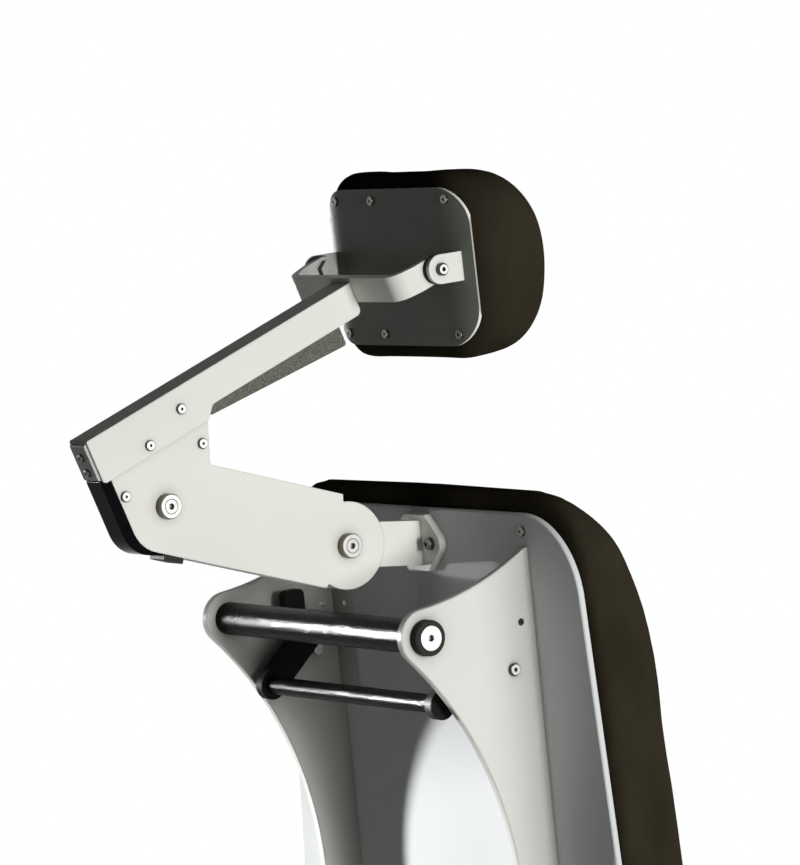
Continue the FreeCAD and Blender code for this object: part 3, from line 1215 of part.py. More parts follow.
# ---------------------------------------------------------------- armrests
beam_level = armrest_top - armrest_pad_height - armrest_beam_wall
armrest_pivot = flat(armrest_post_place, beam_level - armrest_pivot_drop)
post_end_radius = armrest_post_width / 2
rail_side_face = rail_offset + rail_width / 2
beam_gap = armrest_post_thickness / 2 + facing_gap
beam_wall_middle = beam_gap + armrest_beam_wall / 2
armrest_bolt_gap = beam_gap + armrest_beam_wall
for label, hand in (("left", 1), ("right", -1)):
    post = new_body("armrest_post_" + label, chair_frame)
    inner_face = armrest_offset - armrest_post_thickness / 2
    outer_face = armrest_offset + armrest_post_thickness / 2
    bracket_low = rail_bottom + 12
    bracket_high = bracket_low + armrest_post_thickness
    post_view = rounded([(hand * rail_side_face, bracket_low, 0),
                         (hand * outer_face, bracket_low, armrest_post_thickness + 8),
                         (hand * outer_face, armrest_pivot.y + post_end_radius, 0),
                         (hand * inner_face, armrest_pivot.y + post_end_radius, 0),
                         (hand * inner_face, bracket_high, 8), (hand * rail_side_face, bracket_high, 0)])
    post_sketch = sketch_on(post, "XZ_Plane", [post_view], -armrest_post_place)
    post_pad = pad(post, post_sketch, "armrest_post_width")
    doc.recompute()
    top_edges = ["Edge%d" % (index + 1) for index, edge in enumerate(post_pad.Shape.Edges)
                 if edge.CenterOfMass.z > armrest_pivot.y + post_end_radius - 0.01
                 and abs(abs(edge.CenterOfMass.y - armrest_post_place) - post_end_radius) < 0.01]
    post_round = post.newObject("PartDesign::Fillet", post.Label + "_fillet")
    post_round.Base = (post_pad, top_edges)
    post_round.Radius = armrest_post_width * 0.49
    post_round.setExpression("Radius", bound("armrest_post_width * 0.49"))
    pivot_bore = hole(armrest_pivot.x, armrest_pivot.y, armrest_bolt_radius + shaft_clearance)
    pocket(post, sketch_on(post, "YZ_Plane", [pivot_bore]), "armrest_offset * 3")

    beam = new_body("armrest_beam_" + label, chair_frame)
    wall = rounded([(armrest_front + 30, beam_level, 0), (armrest_front + 44, beam_level - armrest_beam_height, 12),
                    (armrest_pivot.x + 17, beam_level - armrest_beam_height, 15),
                    (armrest_pivot.x + 17, beam_level, 0)])
    for side in (1, -1):
        pad(beam, sketch_on(beam, "YZ_Plane", [wall, pivot_bore],
                            hand * armrest_offset + side * beam_wall_middle), "armrest_beam_wall")
    plate_view = box_outline(armrest_front + 14, beam_level, armrest_rear - 14,
                             beam_level + armrest_beam_wall)
    pad(beam, sketch_on(beam, "YZ_Plane", [plate_view], hand * armrest_offset),
        "armrest_pad_width - 16")

    cushion = new_body("armrest_pad_" + label, chair_frame)
    half = armrest_pad_width / 2
    pad_plan = box_outline(hand * armrest_offset - half, armrest_front, hand * armrest_offset + half,
                           armrest_rear, half * 0.8)
    block = pad(cushion, sketch_on(cushion, "XY_Plane", [pad_plan], armrest_top - armrest_pad_height),
                "armrest_pad_height", both_ways=False)
    doc.recompute()
    rim = ["Edge%d" % (index + 1) for index, edge in enumerate(block.Shape.Edges)
           if min(vertex.Point.z for vertex in edge.Vertexes) > armrest_top - 0.01]
    pad_round = cushion.newObject("PartDesign::Fillet", cushion.Label + "_fillet")
    pad_round.Base = (block, rim)
    pad_round.Radius = armrest_pad_round
    pad_round.setExpression("Radius", bound("armrest_pad_round"))

bolt_length = 2 * armrest_bolt_gap + 2 * facing_gap
armrest_bolts = []
for hand in (1, -1):
    seat_x = hand * (armrest_offset + armrest_bolt_gap + facing_gap)
    bolt_seat_point = Vector(seat_x, armrest_pivot.x, armrest_pivot.y)
    bolt = headed_pin(bolt_seat_point, SIDEWAYS * hand, armrest_bolt_radius, bolt_length,
                      armrest_bolt_head, armrest_bolt_head_depth)
    nut = rod(bolt_seat_point - SIDEWAYS * (hand * bolt_length), SIDEWAYS * -hand, armrest_bolt_head,
              armrest_bolt_head_depth)
    armrest_bolts.append(bolt.fuse(nut).removeSplitter())
solids("armrest_pivot_bolts", chair_frame, armrest_bolts)

# ---------------------------------------------------------------- legrest and foot plate
leg_front = leg_pivot_place - leg_rail_width / 2
leg_rear = leg_pivot_place + leg_rail_width / 2
leg_frame = new_body("legrest_frame", chair_frame)
leg_side = rounded([(leg_front, leg_rail_bottom, 6), (leg_rear, leg_rail_bottom, 6),
                    (leg_rear, leg_pivot_level + leg_rail_width / 2, leg_rail_width * 0.49),
                    (leg_front, leg_pivot_level + leg_rail_width / 2, leg_rail_width * 0.49)])
for hand in (1, -1):
    pad(leg_frame, sketch_on(leg_frame, "YZ_Plane", [leg_side, leg_bore], hand * leg_rail_offset),
        "leg_rail_thickness")
board_view = box_outline(-leg_board_half_width, leg_board_bottom, leg_board_half_width,
                         leg_board_top, leg_board_corner)
pad(leg_frame, sketch_on(leg_frame, "XZ_Plane", [board_view], -leg_front), "leg_board_thickness",
    both_ways=False)
tie_rise = size("tie_rise", 10.0)
tie_height = size("tie_height", 20.0)
tie = box_outline(leg_front + 8, leg_rail_bottom + tie_rise, leg_rear - 8,
                  leg_rail_bottom + tie_rise + tie_height, 4)
pad(leg_frame, sketch_on(leg_frame, "YZ_Plane", [tie]), "leg_rail_offset * 2")
board_front = leg_front - leg_board_thickness
leg_cushion = new_body("legrest_cushion", chair_frame)
leg_pad_view = box_outline(-leg_board_half_width - leg_pad_overhang, leg_board_bottom - leg_pad_overhang,
                           leg_board_half_width + leg_pad_overhang, leg_board_top + leg_pad_overhang,
                           leg_board_corner + leg_pad_overhang)
leg_block = pad(leg_cushion, sketch_on(leg_cushion, "XZ_Plane", [leg_pad_view], -board_front),
                "leg_pad_thickness", both_ways=False)
doc.recompute()
leg_rim = ["Edge%d" % (index + 1) for index, edge in enumerate(leg_block.Shape.Edges)
           if max(vertex.Point.y for vertex in edge.Vertexes) < board_front - leg_pad_thickness + 0.01]
leg_round = leg_cushion.newObject("PartDesign::Fillet", "legrest_cushion_fillet")
leg_round.Base = (leg_block, leg_rim)
leg_round.Radius = leg_pad_round
leg_round.setExpression("Radius", bound("leg_pad_round"))
foot_plate = new_body("foot_plate", chair_frame)
foot_rear = board_front - 2
foot_front = foot_rear - foot_plate_length
foot_plan = rounded([(-foot_plate_half_width, foot_rear, 0),
                     (-foot_plate_half_width, foot_front, foot_plate_corner),
                     (foot_plate_half_width, foot_front, foot_plate_corner),
                     (foot_plate_half_width, foot_rear, 0)])
pad(foot_plate, sketch_on(foot_plate, "XY_Plane", [foot_plan], foot_plate_level),
    "foot_plate_thickness", both_ways=False)
gusset_length = size("gusset_length", 110.0)
gusset = rounded([(foot_rear - gusset_length, foot_plate_level, 0), (leg_front, leg_rail_bottom, 0),
                  (leg_front, leg_board_bottom - leg_pad_overhang - 4, 0), (foot_rear, foot_plate_level + 8, 0),
                  (foot_rear - 20, foot_plate_level, 0)])
for hand in (1, -1):
    pad(foot_plate, sketch_on(foot_plate, "YZ_Plane", [gusset], hand * leg_rail_offset),
        "leg_rail_thickness")
leg_seat = Vector(rail_side_face, leg_pivot_place, leg_pivot_level)
leg_pin = headed_pin(leg_seat, SIDEWAYS, leg_pin_radius,
                     rail_side_face - leg_rail_offset + leg_rail_thickness / 2, leg_pin_radius * 1.5,
                     leg_pin_radius / 2)
solids("legrest_pins", chair_frame, mirrored_pair(leg_pin))

# ================================================================ column
ram_top = rail_bottom - ram_flange_thickness


def tube_profile(label, outline):
    """Turned sub-part on the column's axis, from an outline of (radius, level) corners."""
    body = new_body(label, chair_frame)
    turn = body.newObject("PartDesign::Revolution", label + "_turn")
    turn.Profile = sketch_on(body, "XZ_Plane", [rounded([(x, z, 0) for x, z in outline])])
    vertical = next(item for item in body.Origin.OriginFeatures if item.Role == "Z_Axis")
    turn.ReferenceAxis = (vertical, [""])
    turn.Angle = 360
    return body


tube_profile("column_ram", [(ram_radius - ram_wall, ram_bottom), (ram_radius, ram_bottom),
                            (ram_radius, ram_top), (ram_flange_radius, ram_top),
                            (ram_flange_radius, rail_bottom), (ram_radius - ram_wall, rail_bottom)])
flange_top = base_thickness + column_flange_thickness
tube_profile("column_tube", [(column_radius - column_wall, base_thickness),
                             (column_flange_radius, base_thickness), (column_flange_radius, flange_top),
                             (column_radius, flange_top), (column_radius, column_top),
                             (column_radius - column_wall, column_top)])
bush_lip = size("bush_lip", 5.0)
tube_profile("column_bush", [(ram_radius + shaft_clearance, column_top - bush_height),
                             (column_radius - column_wall, column_top - bush_height),
                             (column_radius - column_wall, column_top), (column_radius, column_top),
                             (column_radius, column_top + bush_lip),
                             (ram_radius + shaft_clearance, column_top + bush_lip)])
flange_holes = [hole(column_bolt_circle * math.cos(math.radians(45 + 90 * step)),
                     column_bolt_circle * math.sin(math.radians(45 + 90 * step)),
                     column_bolt_radius + shaft_clearance) for step in range(4)]
column_tube = next(item for item in kept if item.Label == "column_tube")
pocket(column_tube, sketch_on(column_tube, "XY_Plane", flange_holes, flange_top),
       "column_flange_thickness * 2")
column_bolts = []
for step in range(4):
    turn = math.radians(45 + 90 * step)
    spot = Vector(column_bolt_circle * math.cos(turn), column_bolt_circle * math.sin(turn), flange_top)
    column_bolts.append(socket_screw(spot, UPWARD, column_bolt_radius * 1.6, column_bolt_radius * 1.6,
                                     button_socket * 2, column_bolt_radius, flange_top - base_thickness / 3))
solids("column_bolts", chair_frame, column_bolts)

# ================================================================ base
base_plate = new_body("base_plate", chair_frame)
base_plan = box_outline(-base_half_width, base_front, base_half_width, base_rear, base_corner)
pad(base_plate, sketch_on(base_plate, "XY_Plane", [base_plan]), "base_thickness",
    both_ways=False)
pocket(base_plate, sketch_on(base_plate, "XY_Plane", flange_holes, base_thickness),
       "base_thickness * 0.9", both_ways=False)
pedal_ear_half = size("pedal_ear_half", 13.0)
pedal_axis = flat(pedal_pivot_place, pedal_pivot_level)
pedal_ear = [Part.LineSegment(pedal_axis + flat(-pedal_ear_half, 0),
                              flat(pedal_axis.x - pedal_ear_half, base_thickness)),
             Part.LineSegment(flat(pedal_axis.x - pedal_ear_half, base_thickness),
                              flat(pedal_axis.x + pedal_ear_half, base_thickness)),
             Part.LineSegment(flat(pedal_axis.x + pedal_ear_half, base_thickness),
                              pedal_axis + flat(pedal_ear_half, 0)),
             Part.Arc(pedal_axis + flat(pedal_ear_half, 0), pedal_axis + flat(0, pedal_ear_half),
                      pedal_axis + flat(-pedal_ear_half, 0))]
pedal_bore = hole(pedal_axis.x, pedal_axis.y, pedal_pin_radius + shaft_clearance)
pedal_ear_place = pedal_arm_width / 2 + facing_gap + pedal_ear_thickness / 2
for hand in (1, -1):
    pad(base_plate, sketch_on(base_plate, "YZ_Plane", [pedal_ear, pedal_bore],
                              pedal_offset + hand * pedal_ear_place), "pedal_ear_thickness")

cover_half = base_half_width - cover_inset
cover_body = new_body("base_cover", chair_frame)
cover_plan = box_outline(-cover_half, base_front + cover_inset, cover_half, cover_rear,
                         base_corner - cover_inset)
shell = pad(cover_body, sketch_on(cover_body, "XY_Plane", [cover_plan], base_thickness), "cover_height",
            both_ways=False)
doc.recompute()
shell_rim = ["Edge%d" % (index + 1) for index, edge in enumerate(shell.Shape.Edges)
             if min(vertex.Point.z for vertex in edge.Vertexes) > base_thickness + cover_height - 0.01]
shell_round = cover_body.newObject("PartDesign::Fillet", "base_cover_fillet")
shell_round.Base = (shell, shell_rim)
shell_round.Radius = cover_round
shell_round.setExpression("Radius", bound("cover_round"))
for margin, depth in ((cover_wall, "cover_height - cover_round"), (cover_round, "cover_height - cover_wall")):
    inner_plan = box_outline(-cover_half + margin, base_front + cover_inset + margin,
                             cover_half - margin, cover_rear - margin,
                             base_corner - cover_inset - margin)
    pocket(cover_body, sketch_on(cover_body, "XY_Plane", [inner_plan], base_thickness), depth,
           both_ways=False, backward=True)
cover_hole = hole(0, 0, column_radius + running_gap)
pocket(cover_body, sketch_on(cover_body, "XY_Plane", [cover_hole], base_thickness + cover_height),
       "cover_height * 2")

# ---------------------------------------------------------------- pump pedal
pedal = new_body("pedal_lever", chair_frame)
pedal_half = pedal_arm_height / 2
pedal_side = rounded([(pedal_axis.x - pedal_inner_reach, pedal_axis.y - pedal_half, pedal_half * 0.9),
                      (pedal_axis.x + pedal_reach, pedal_axis.y - pedal_half, 3),
                      (pedal_axis.x + pedal_reach, pedal_axis.y + pedal_half, 3),
                      (pedal_axis.x - pedal_inner_reach, pedal_axis.y + pedal_half, pedal_half * 0.9)])
pad(pedal, sketch_on(pedal, "YZ_Plane", [pedal_side, pedal_bore], pedal_offset), "pedal_arm_width")
tread_low = pedal_axis.y - pedal_half + 1
tread = box_outline(pedal_axis.x + pedal_reach - pedal_tread_length, tread_low,
                    pedal_axis.x + pedal_reach, pedal_axis.y + pedal_half, 4)
pad(pedal, sketch_on(pedal, "YZ_Plane", [tread], pedal_offset), "pedal_tread_width")
pedal_pin_half = pedal_ear_place + pedal_ear_thickness / 2
pedal_pin = headed_pin(Vector(pedal_offset + pedal_pin_half, pedal_axis.x, pedal_axis.y), SIDEWAYS,
                       pedal_pin_radius, pedal_pin_half * 2, pedal_pin_radius * 1.5, 3)
solids("pedal_pin", chair_frame, [pedal_pin])


# ================================================================ check and export
doc.recompute()
for item in doc.Objects:
    if "Invalid" in item.State or "Error" in item.State:
        raise RuntimeError("%s: %s" % (item.Label, item.State))
    if item.TypeId == "PartDesign::Pocket":
        removed = item.BaseFeature.Shape.Volume - item.Shape.Volume
        if removed < 1:
            raise RuntimeError("%s cuts nothing" % item.Label)
for item in kept:
    if item.Shape.isNull() or not item.Shape.isValid():
        raise RuntimeError("%s has no valid shape" % item.Label)
    print("%-22s %2d solids %10.0f mm3" % (item.Label, len(item.Shape.Solids), item.Shape.Volume))

os.makedirs("parts", exist_ok=True)
for item in kept:
    item.Shape.exportStep("parts/%s.step" % item.Label)
print(len(kept), "sub-parts")
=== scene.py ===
# %% [markdown]
# This lesson dresses an examination chair. The metalwork arrives as a packed model, the frame,
# and stays exactly where it is. The lesson adds the finishes, the soft cushions, the room and
# the camera. Everything is in metres: X runs across the chair, the seat faces -Y, and Z is up
# from the floor.

import json
import math

import bmesh
import bpy
from mathutils import Matrix, Vector


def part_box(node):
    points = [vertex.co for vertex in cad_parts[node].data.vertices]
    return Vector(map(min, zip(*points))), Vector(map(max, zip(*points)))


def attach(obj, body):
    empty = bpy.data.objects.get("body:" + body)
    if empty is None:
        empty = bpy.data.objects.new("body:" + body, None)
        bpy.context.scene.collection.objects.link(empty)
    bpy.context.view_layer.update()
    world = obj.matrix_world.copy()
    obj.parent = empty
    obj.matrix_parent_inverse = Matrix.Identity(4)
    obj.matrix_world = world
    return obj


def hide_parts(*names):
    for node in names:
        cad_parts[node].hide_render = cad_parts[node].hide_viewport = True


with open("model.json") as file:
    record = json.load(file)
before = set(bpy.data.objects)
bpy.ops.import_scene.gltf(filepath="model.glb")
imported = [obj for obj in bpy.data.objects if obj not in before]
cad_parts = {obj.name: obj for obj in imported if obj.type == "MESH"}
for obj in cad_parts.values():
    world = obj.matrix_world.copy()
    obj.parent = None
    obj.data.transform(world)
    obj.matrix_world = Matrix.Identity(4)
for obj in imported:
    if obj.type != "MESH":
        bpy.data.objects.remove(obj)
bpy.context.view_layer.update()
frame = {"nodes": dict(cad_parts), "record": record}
MM = 0.001

# %% [markdown]
# The backrest, the link, the arm and the headrest each lean by their own angle, so their
# cushions are easier to draw upright and lean afterwards. A leaning place is a point to start
# from and a turn about X. Each one starts where the one before it ends, like the real hinges.

# %% Where the leaning parts stand
SIDEWAYS = Vector((1, 0, 0))


def leaning(start, degrees):
    """A place that starts at a point in metres and is turned about X."""
    return Matrix.Translation(start) @ Matrix.Rotation(math.radians(degrees), 4, SIDEWAYS)


back_place = leaning(Vector((0, 470, 1000)) * MM, -6.9)
link_place = leaning(back_place @ (Vector((0, -31.9, 76.5)) * MM), 11.8)
arm_place = leaning(link_place @ (Vector((0, 213, 0)) * MM), -26.5)
head_place = leaning(arm_place @ (Vector((0, -326.2, 89.1)) * MM), -7.9)
print("headrest hinge at", [round(v, 4) for v in head_place.translation])

# %% [markdown]
# The camera stands low behind the chair's right shoulder, far away with a long lens, so that
# lines stay almost parallel. Its lens is known as a focal length in pixels, and the longer side
# of the frame in pixels turns that into the millimetres that Blender wants.

# %% Camera
PICTURE_HEIGHT = 865
FOCAL_PIXELS = 5067.3
SENSOR_MM = 36.0
camera_data = bpy.data.cameras.new("camera")
camera_data.sensor_width = SENSOR_MM
camera_data.lens = SENSOR_MM * FOCAL_PIXELS / PICTURE_HEIGHT
camera_data.clip_end = 100.0
camera = bpy.data.objects.new("camera", camera_data)
bpy.context.collection.objects.link(camera)
camera.location = (-4.08066, 3.23407, 1.33438)
azimuth, elevation = math.radians(235.001), math.radians(1.678)
back_to_camera = Vector((math.sin(azimuth) * math.cos(elevation),
                         -math.cos(azimuth) * math.cos(elevation), math.sin(elevation)))
camera.rotation_mode = "QUATERNION"
camera.rotation_quaternion = (-back_to_camera).to_track_quat("-Z", "Y")
bpy.context.scene.camera = camera
print("camera lens", round(camera_data.lens, 1), "mm")

# %% [markdown]
# A finish is a small graph of nodes, and long graphs are hard to read as node calls. So one
# small class wraps a socket and lets it be added and multiplied like a number: each sum adds
# its Math node. The maths then reads like the mask that it draws.

# %% Sums of wires
class Wire:
    """One output of a node that can be used in sums."""

    def __init__(self, graph, socket):
        self.graph = graph
        self.socket = socket

    def sum_with(self, operation, first, second):
        return self.graph.node("ShaderNodeMath", {"operation": operation}, {0: first, 1: second})

    def __add__(self, other):
        return self.sum_with("ADD", self, other)

    __radd__ = __add__

    def __sub__(self, other):
        return self.sum_with("SUBTRACT", self, other)

    def __rsub__(self, other):
        return self.sum_with("SUBTRACT", other, self)

    def __mul__(self, other):
        return self.sum_with("MULTIPLY", self, other)

    __rmul__ = __mul__


print("wires can be added, subtracted and multiplied")

# %% [markdown]
# Textures, ranges and blends are nodes too. One method makes any node, from its type, its
# settings and what goes into its sockets, and short methods on top of it make the few that
# every finish here uses. The same graph serves a material and, at the end, the world.

# %% Nodes, textures and blends
NOISE_ROUGHNESS = 0.55  # how much the finer detail of cloudy noise counts


class Graph:
    """A tree of nodes, built one node at a time."""

    def __init__(self, tree):
        self.tree = tree

    def node(self, kind, settings=None, inputs=None, output=0):
        """Any node: its settings first, then its sockets' values or wires."""
        made = self.tree.nodes.new(kind)
        for key, value in (settings or {}).items():
            setattr(made, key, value)
        for socket, value in (inputs or {}).items():
            if isinstance(value, Wire):
                self.tree.links.new(value.socket, made.inputs[socket])
            else:
                made.inputs[socket].default_value = value
        return Wire(self, made.outputs[output])

    def place(self, stretch=(1, 1, 1)):
        """The object's own coordinates, in metres, stretched if asked."""
        spot = self.node("ShaderNodeTexCoord", output="Object")
        return self.node("ShaderNodeMapping", {}, {"Vector": spot, "Scale": stretch})

    def grain(self, scale, detail=3.0, stretch=(1, 1, 1)):
        """Cloudy noise from 0 to 1."""
        return self.node("ShaderNodeTexNoise", {},
                         {"Vector": self.place(stretch), "Scale": scale, "Detail": detail,
                          "Roughness": NOISE_ROUGHNESS})

    def cells(self, scale):
        """Distance to the nearest of many scattered points: pebbles."""
        return self.node("ShaderNodeTexVoronoi", {"feature": "F1"},
                         {"Vector": self.place(), "Scale": scale})

    def span(self, wire, low, high, new_low=0.0, new_high=1.0):
        """Stretch part of a wire's range to another range, clamped."""
        return self.node("ShaderNodeMapRange", {"clamp": True},
                         {0: wire, 1: low, 2: high, 3: new_low, 4: new_high})

    def mix(self, factor, first, second):
        """Blend two colours."""
        node = self.tree.nodes.new("ShaderNodeMix")
        node.data_type = "RGBA"
        for socket, value in (("Factor_Float", factor), ("A_Color", first), ("B_Color", second)):
            port = next(item for item in node.inputs if item.identifier == socket)
            if isinstance(value, Wire):
                self.tree.links.new(value.socket, port)
            else:
                port.default_value = value
        result = next(item for item in node.outputs if item.identifier == "Result_Color")
        return Wire(self, result)


print("graph helpers:", ", ".join(name for name in vars(Graph) if not name.startswith("_")))

# %% [markdown]
# A finish is a graph that ends in a material's own shader. Real edges are never quite sharp,
# and corners lie in shade. Both could be modelled or painted by hand, but a Bevel node and an
# Ambient Occlusion node find edges and corners on any shape, so any finish can have both as
# masks. A corner mask that darkens a colour paints shade into it.

# %% A finish with edges and corners
EDGE_STARTS, EDGE_FULL = 0.01, 0.16  # how far a rounded edge has turned away from its face


class Finish(Graph):
    """A material whose shader is fed by wires."""

    def __init__(self, name, **fixed):
        self.material = bpy.data.materials.new(name)
        self.material.use_nodes = True
        super().__init__(self.material.node_tree)
        self.shader = self.tree.nodes["Principled BSDF"]
        for socket, value in fixed.items():
            self.shader.inputs[socket.replace("_", " ")].default_value = value

    def bump(self, height, distance, strength=1.0, under=None):
        """A bump of the given depth in metres, laid over another normal if given."""
        inputs = {"Height": height, "Distance": distance, "Strength": strength}
        if under is not None:
            inputs["Normal"] = under
        return self.node("ShaderNodeBump", {}, inputs)

    def softened(self, radius):
        """Edges rounded in the shading alone: the rounded normal, and a mask, 1 on the edges."""
        rounded = self.node("ShaderNodeBevel", {"samples": 4}, {"Radius": radius})
        plain = self.node("ShaderNodeNewGeometry", output="Normal")
        same = self.node("ShaderNodeVectorMath", {"operation": "DOT_PRODUCT"},
                         {0: rounded, 1: plain}, output="Value")
        return rounded, self.span(1 - same, EDGE_STARTS, EDGE_FULL)

    def crevice(self, reach, closed=0.35, free=0.95):
        """A mask for painted shade: 1 in narrow corners and 0 in the open."""
        sky = self.node("ShaderNodeAmbientOcclusion", {"samples": 6}, {"Distance": reach},
                        output="AO")
        return self.span(sky, closed, free, 1.0, 0.0)

    def feed(self, **wires):
        """Lead wires to the shader's sockets, and give the finished material."""
        for socket, wire in wires.items():
            self.tree.links.new(wire.socket, self.shader.inputs[socket.replace("_", " ")])
        return self.material


print("edges show from", EDGE_STARTS, "to", EDGE_FULL)

# %% [markdown]
# Most of the sheet metal has a satin powder paint: a light warm grey with a faint orange peel
# that only shows where light grazes it, and slow changes of tone. Its edges are lighter, partly
# where hands and tools have polished the paint and partly as a painted highlight, and its
# corners are darkened with painted shade. The real edges are broken by about a millimetre, and
# the Bevel node rounds them in the shading alone: its difference from the plain normal is the
# edge mask.

# %% Painted sheet metal
def tone(red, green=None, blue=None):
    """A colour with full alpha; one number is a grey."""
    return (red, red if green is None else green, red if blue is None else blue, 1.0)


# Near white: edges lightened partly by polished paint and partly as a painted highlight.
EDGE_POLISH_AND_HIGHLIGHT = tone(0.96, 0.955, 0.91)
# The colour of the painted shade in corners.
CORNER_SHADE = tone(0.16, 0.16, 0.14)
PEEL_DEPTH = 0.00002


def satin_paint(name, light, dark, roughness, rounding=0.0009, edge_wear_and_highlight=0.1, shine=0.05,
                reach=0.006, corner_shade=0.4, free=0.95):
    """Powder paint of two close tones: orange peel, edges lightened by wear and a painted
    highlight, painted shade in corners.
    """
    finish = Finish(name, Metallic=0.0, Specular_IOR_Level=shine)
    rounded, edge = finish.softened(rounding)
    cloud = finish.grain(7.0, 4.0)
    fleck = finish.grain(2400.0, 2.0)
    body = finish.mix(finish.span(cloud, 0.3, 0.7), dark, light)
    speckled = finish.mix(finish.span(fleck, 0.35, 0.65, 0.0, 0.05), body, tone(1.0))
    # The edge mask lightens the colour: partly wear, partly a painted highlight.
    edge_lightened = finish.mix(edge * edge_wear_and_highlight, speckled, EDGE_POLISH_AND_HIGHLIGHT)
    # The occlusion mask darkens the corners: painted shade.
    corner_shaded = finish.mix(finish.crevice(reach, free=free) * corner_shade, edge_lightened, CORNER_SHADE)
    ripple = finish.grain(520.0, 2.0) * 0.7 + fleck * 0.3
    rough = finish.span(finish.grain(90.0, 3.0), 0.3, 0.7, roughness - 0.05, roughness + 0.06)
    return finish.feed(Base_Color=corner_shaded, Roughness=rough - edge * 0.08,
                       Normal=finish.bump(ripple, PEEL_DEPTH, 1.0, rounded))


SILVER_TONES = (tone(0.80, 0.80, 0.745), tone(0.765, 0.765, 0.715))
silver = satin_paint("satin_silver", *SILVER_TONES, 0.38)
# The folded channels' corner shade reaches 12 mm: a painted shadow under the arm's ledge.
folded = satin_paint("satin_silver_folded", *SILVER_TONES, 0.5, rounding=0.0028, shine=0.02,
                     reach=0.012, corner_shade=0.55, free=0.98)
# The side panels' corner shade reaches 75 mm and is strong: painted shade inside the backrest's
# box.
panelled = satin_paint("satin_silver_panel", tone(0.735, 0.74, 0.695), tone(0.705, 0.71, 0.67),
                       0.38, shine=0.015, reach=0.075, corner_shade=0.85)
# On the back plate the edge mask lightens strongly: a painted highlight along the plate's rim.
pearl = satin_paint("satin_pearl", tone(0.70, 0.715, 0.72), tone(0.67, 0.685, 0.69), 0.36,
                    rounding=0.002, edge_wear_and_highlight=0.85, shine=0.0)
cap_grey = satin_paint("satin_grey_cap", tone(0.60, 0.62, 0.58), tone(0.54, 0.56, 0.53), 0.45)
base_paint = satin_paint("satin_graphite", tone(0.115, 0.116, 0.114), tone(0.085, 0.086, 0.085),
                         0.45)
print("paints:", *(paint.name for paint in (silver, folded, panelled, pearl, cap_grey,
                                            base_paint)))

# %% [markdown]
# The headrest's plate is the same kind of paint in dark grey, but its cut edge is near white:
# partly bare metal, partly a painted highlight. Edge and face are told apart by the way the
# surface looks: the faces look along the plate's own axis, and the edge looks away from it.

# %% Dark plate with a bright edge
def looking_along(finish, axis, low, high):
    """A mask that is 1 on faces that look along an axis, and 0 on those that don't."""
    normal = finish.node("ShaderNodeNewGeometry", output="Normal")
    facing = finish.node("ShaderNodeVectorMath", {"operation": "DOT_PRODUCT"},
                         {0: normal, 1: tuple(axis)}, output="Value")
    return finish.span(facing * facing, low, high)


def dark_plate(name, axis):
    """Dark satin paint whose narrow edges are brighter than its faces, partly as a painted
    highlight.
    """
    finish = Finish(name, Metallic=0.0, Specular_IOR_Level=0.12)
    flatness = looking_along(finish, axis, 0.12, 0.3)
    cloud = finish.span(finish.grain(9.0, 4.0), 0.3, 0.7)
    face = finish.mix(cloud, tone(0.125, 0.130, 0.112), tone(0.165, 0.170, 0.148))
    # The edge colour: bare metal with a painted highlight.
    colour = finish.mix(flatness, tone(0.80, 0.80, 0.74), face)
    rough = finish.span(finish.grain(140.0, 3.0), 0.3, 0.7, 0.36, 0.46)
    return finish.feed(Base_Color=colour, Roughness=rough,
                       Normal=finish.bump(finish.grain(700.0, 2.0), PEEL_DEPTH))


headrest_paint = dark_plate("satin_graphite_plate", head_place.to_3x3() @ Vector((0, 1, 0)))
print("dark plate:", headrest_paint.name)

# %% [markdown]
# The push handle and the release bar are coated with a crinkle powder: black, with tiny hard
# grains that throw back sparks of light. Grains modelled one by one would take millions of
# faces, so a deep bump stands for them: fine cloudy noise for the crinkles, with some pebble
# cells that also change the gloss from grain to grain. A lamp then breaks up into a line of
# sparkle.

# %% Crinkle powder coat
CRINKLE_DEPTH = 0.00042


def crinkle_coat(name):
    """Black powder coat: crinkles with a few pebbles among them."""
    finish = Finish(name, Metallic=0.0, Specular_IOR_Level=0.02)
    pebble = finish.cells(900.0)
    wrinkle = finish.grain(430.0, 2.0)
    height = (finish.span(pebble, 0.0, 0.6, 1.0, 0.0) * 0.2
              + finish.span(wrinkle, 0.3, 0.7) * 0.8)
    # The tone rises with the wrinkles, so their valleys are a little darker: painted shade.
    colour = finish.mix(finish.span(wrinkle, 0.4, 0.7), tone(0.005), tone(0.015, 0.015, 0.016))
    rough = finish.span(pebble, 0.1, 0.6, 0.1, 0.2)
    return finish.feed(Base_Color=colour, Roughness=rough,
                       Normal=finish.bump(height, CRINKLE_DEPTH, 0.85))


crinkle = crinkle_coat("crinkle_black")
print("coat:", crinkle.name)

# %% [markdown]
# Four dark plastics and rubbers: the release arms are flat black, the lever under the arm is
# grained for grip, the cover at the elbow is polished, and the friction discs and the handle's
# end rings are rubbery. All but the polished cover differ only in tone and grain, so one recipe
# makes them.

# %% Plastics and rubber
def moulded(name, shade, roughness, grain_scale, grain_depth, contrast=1.3):
    """Moulded plastic or rubber with a fine grain between two close tones, darker in its pits:
    painted shade.
    """
    finish = Finish(name, Specular_IOR_Level=0.03)
    grain = finish.grain(grain_scale, 3.0)
    low = tone(*[channel * 0.8 for channel in shade])
    high = tone(*[channel * contrast for channel in shade])
    rough = finish.span(finish.grain(grain_scale / 3, 2.0), 0.3, 0.7, roughness - 0.05,
                        roughness + 0.06)
    # The grain sets both tone and bump, so its pits are darker: painted shade.
    return finish.feed(Base_Color=finish.mix(finish.span(grain, 0.35, 0.65), low, high),
                       Roughness=rough, Normal=finish.bump(grain, grain_depth))


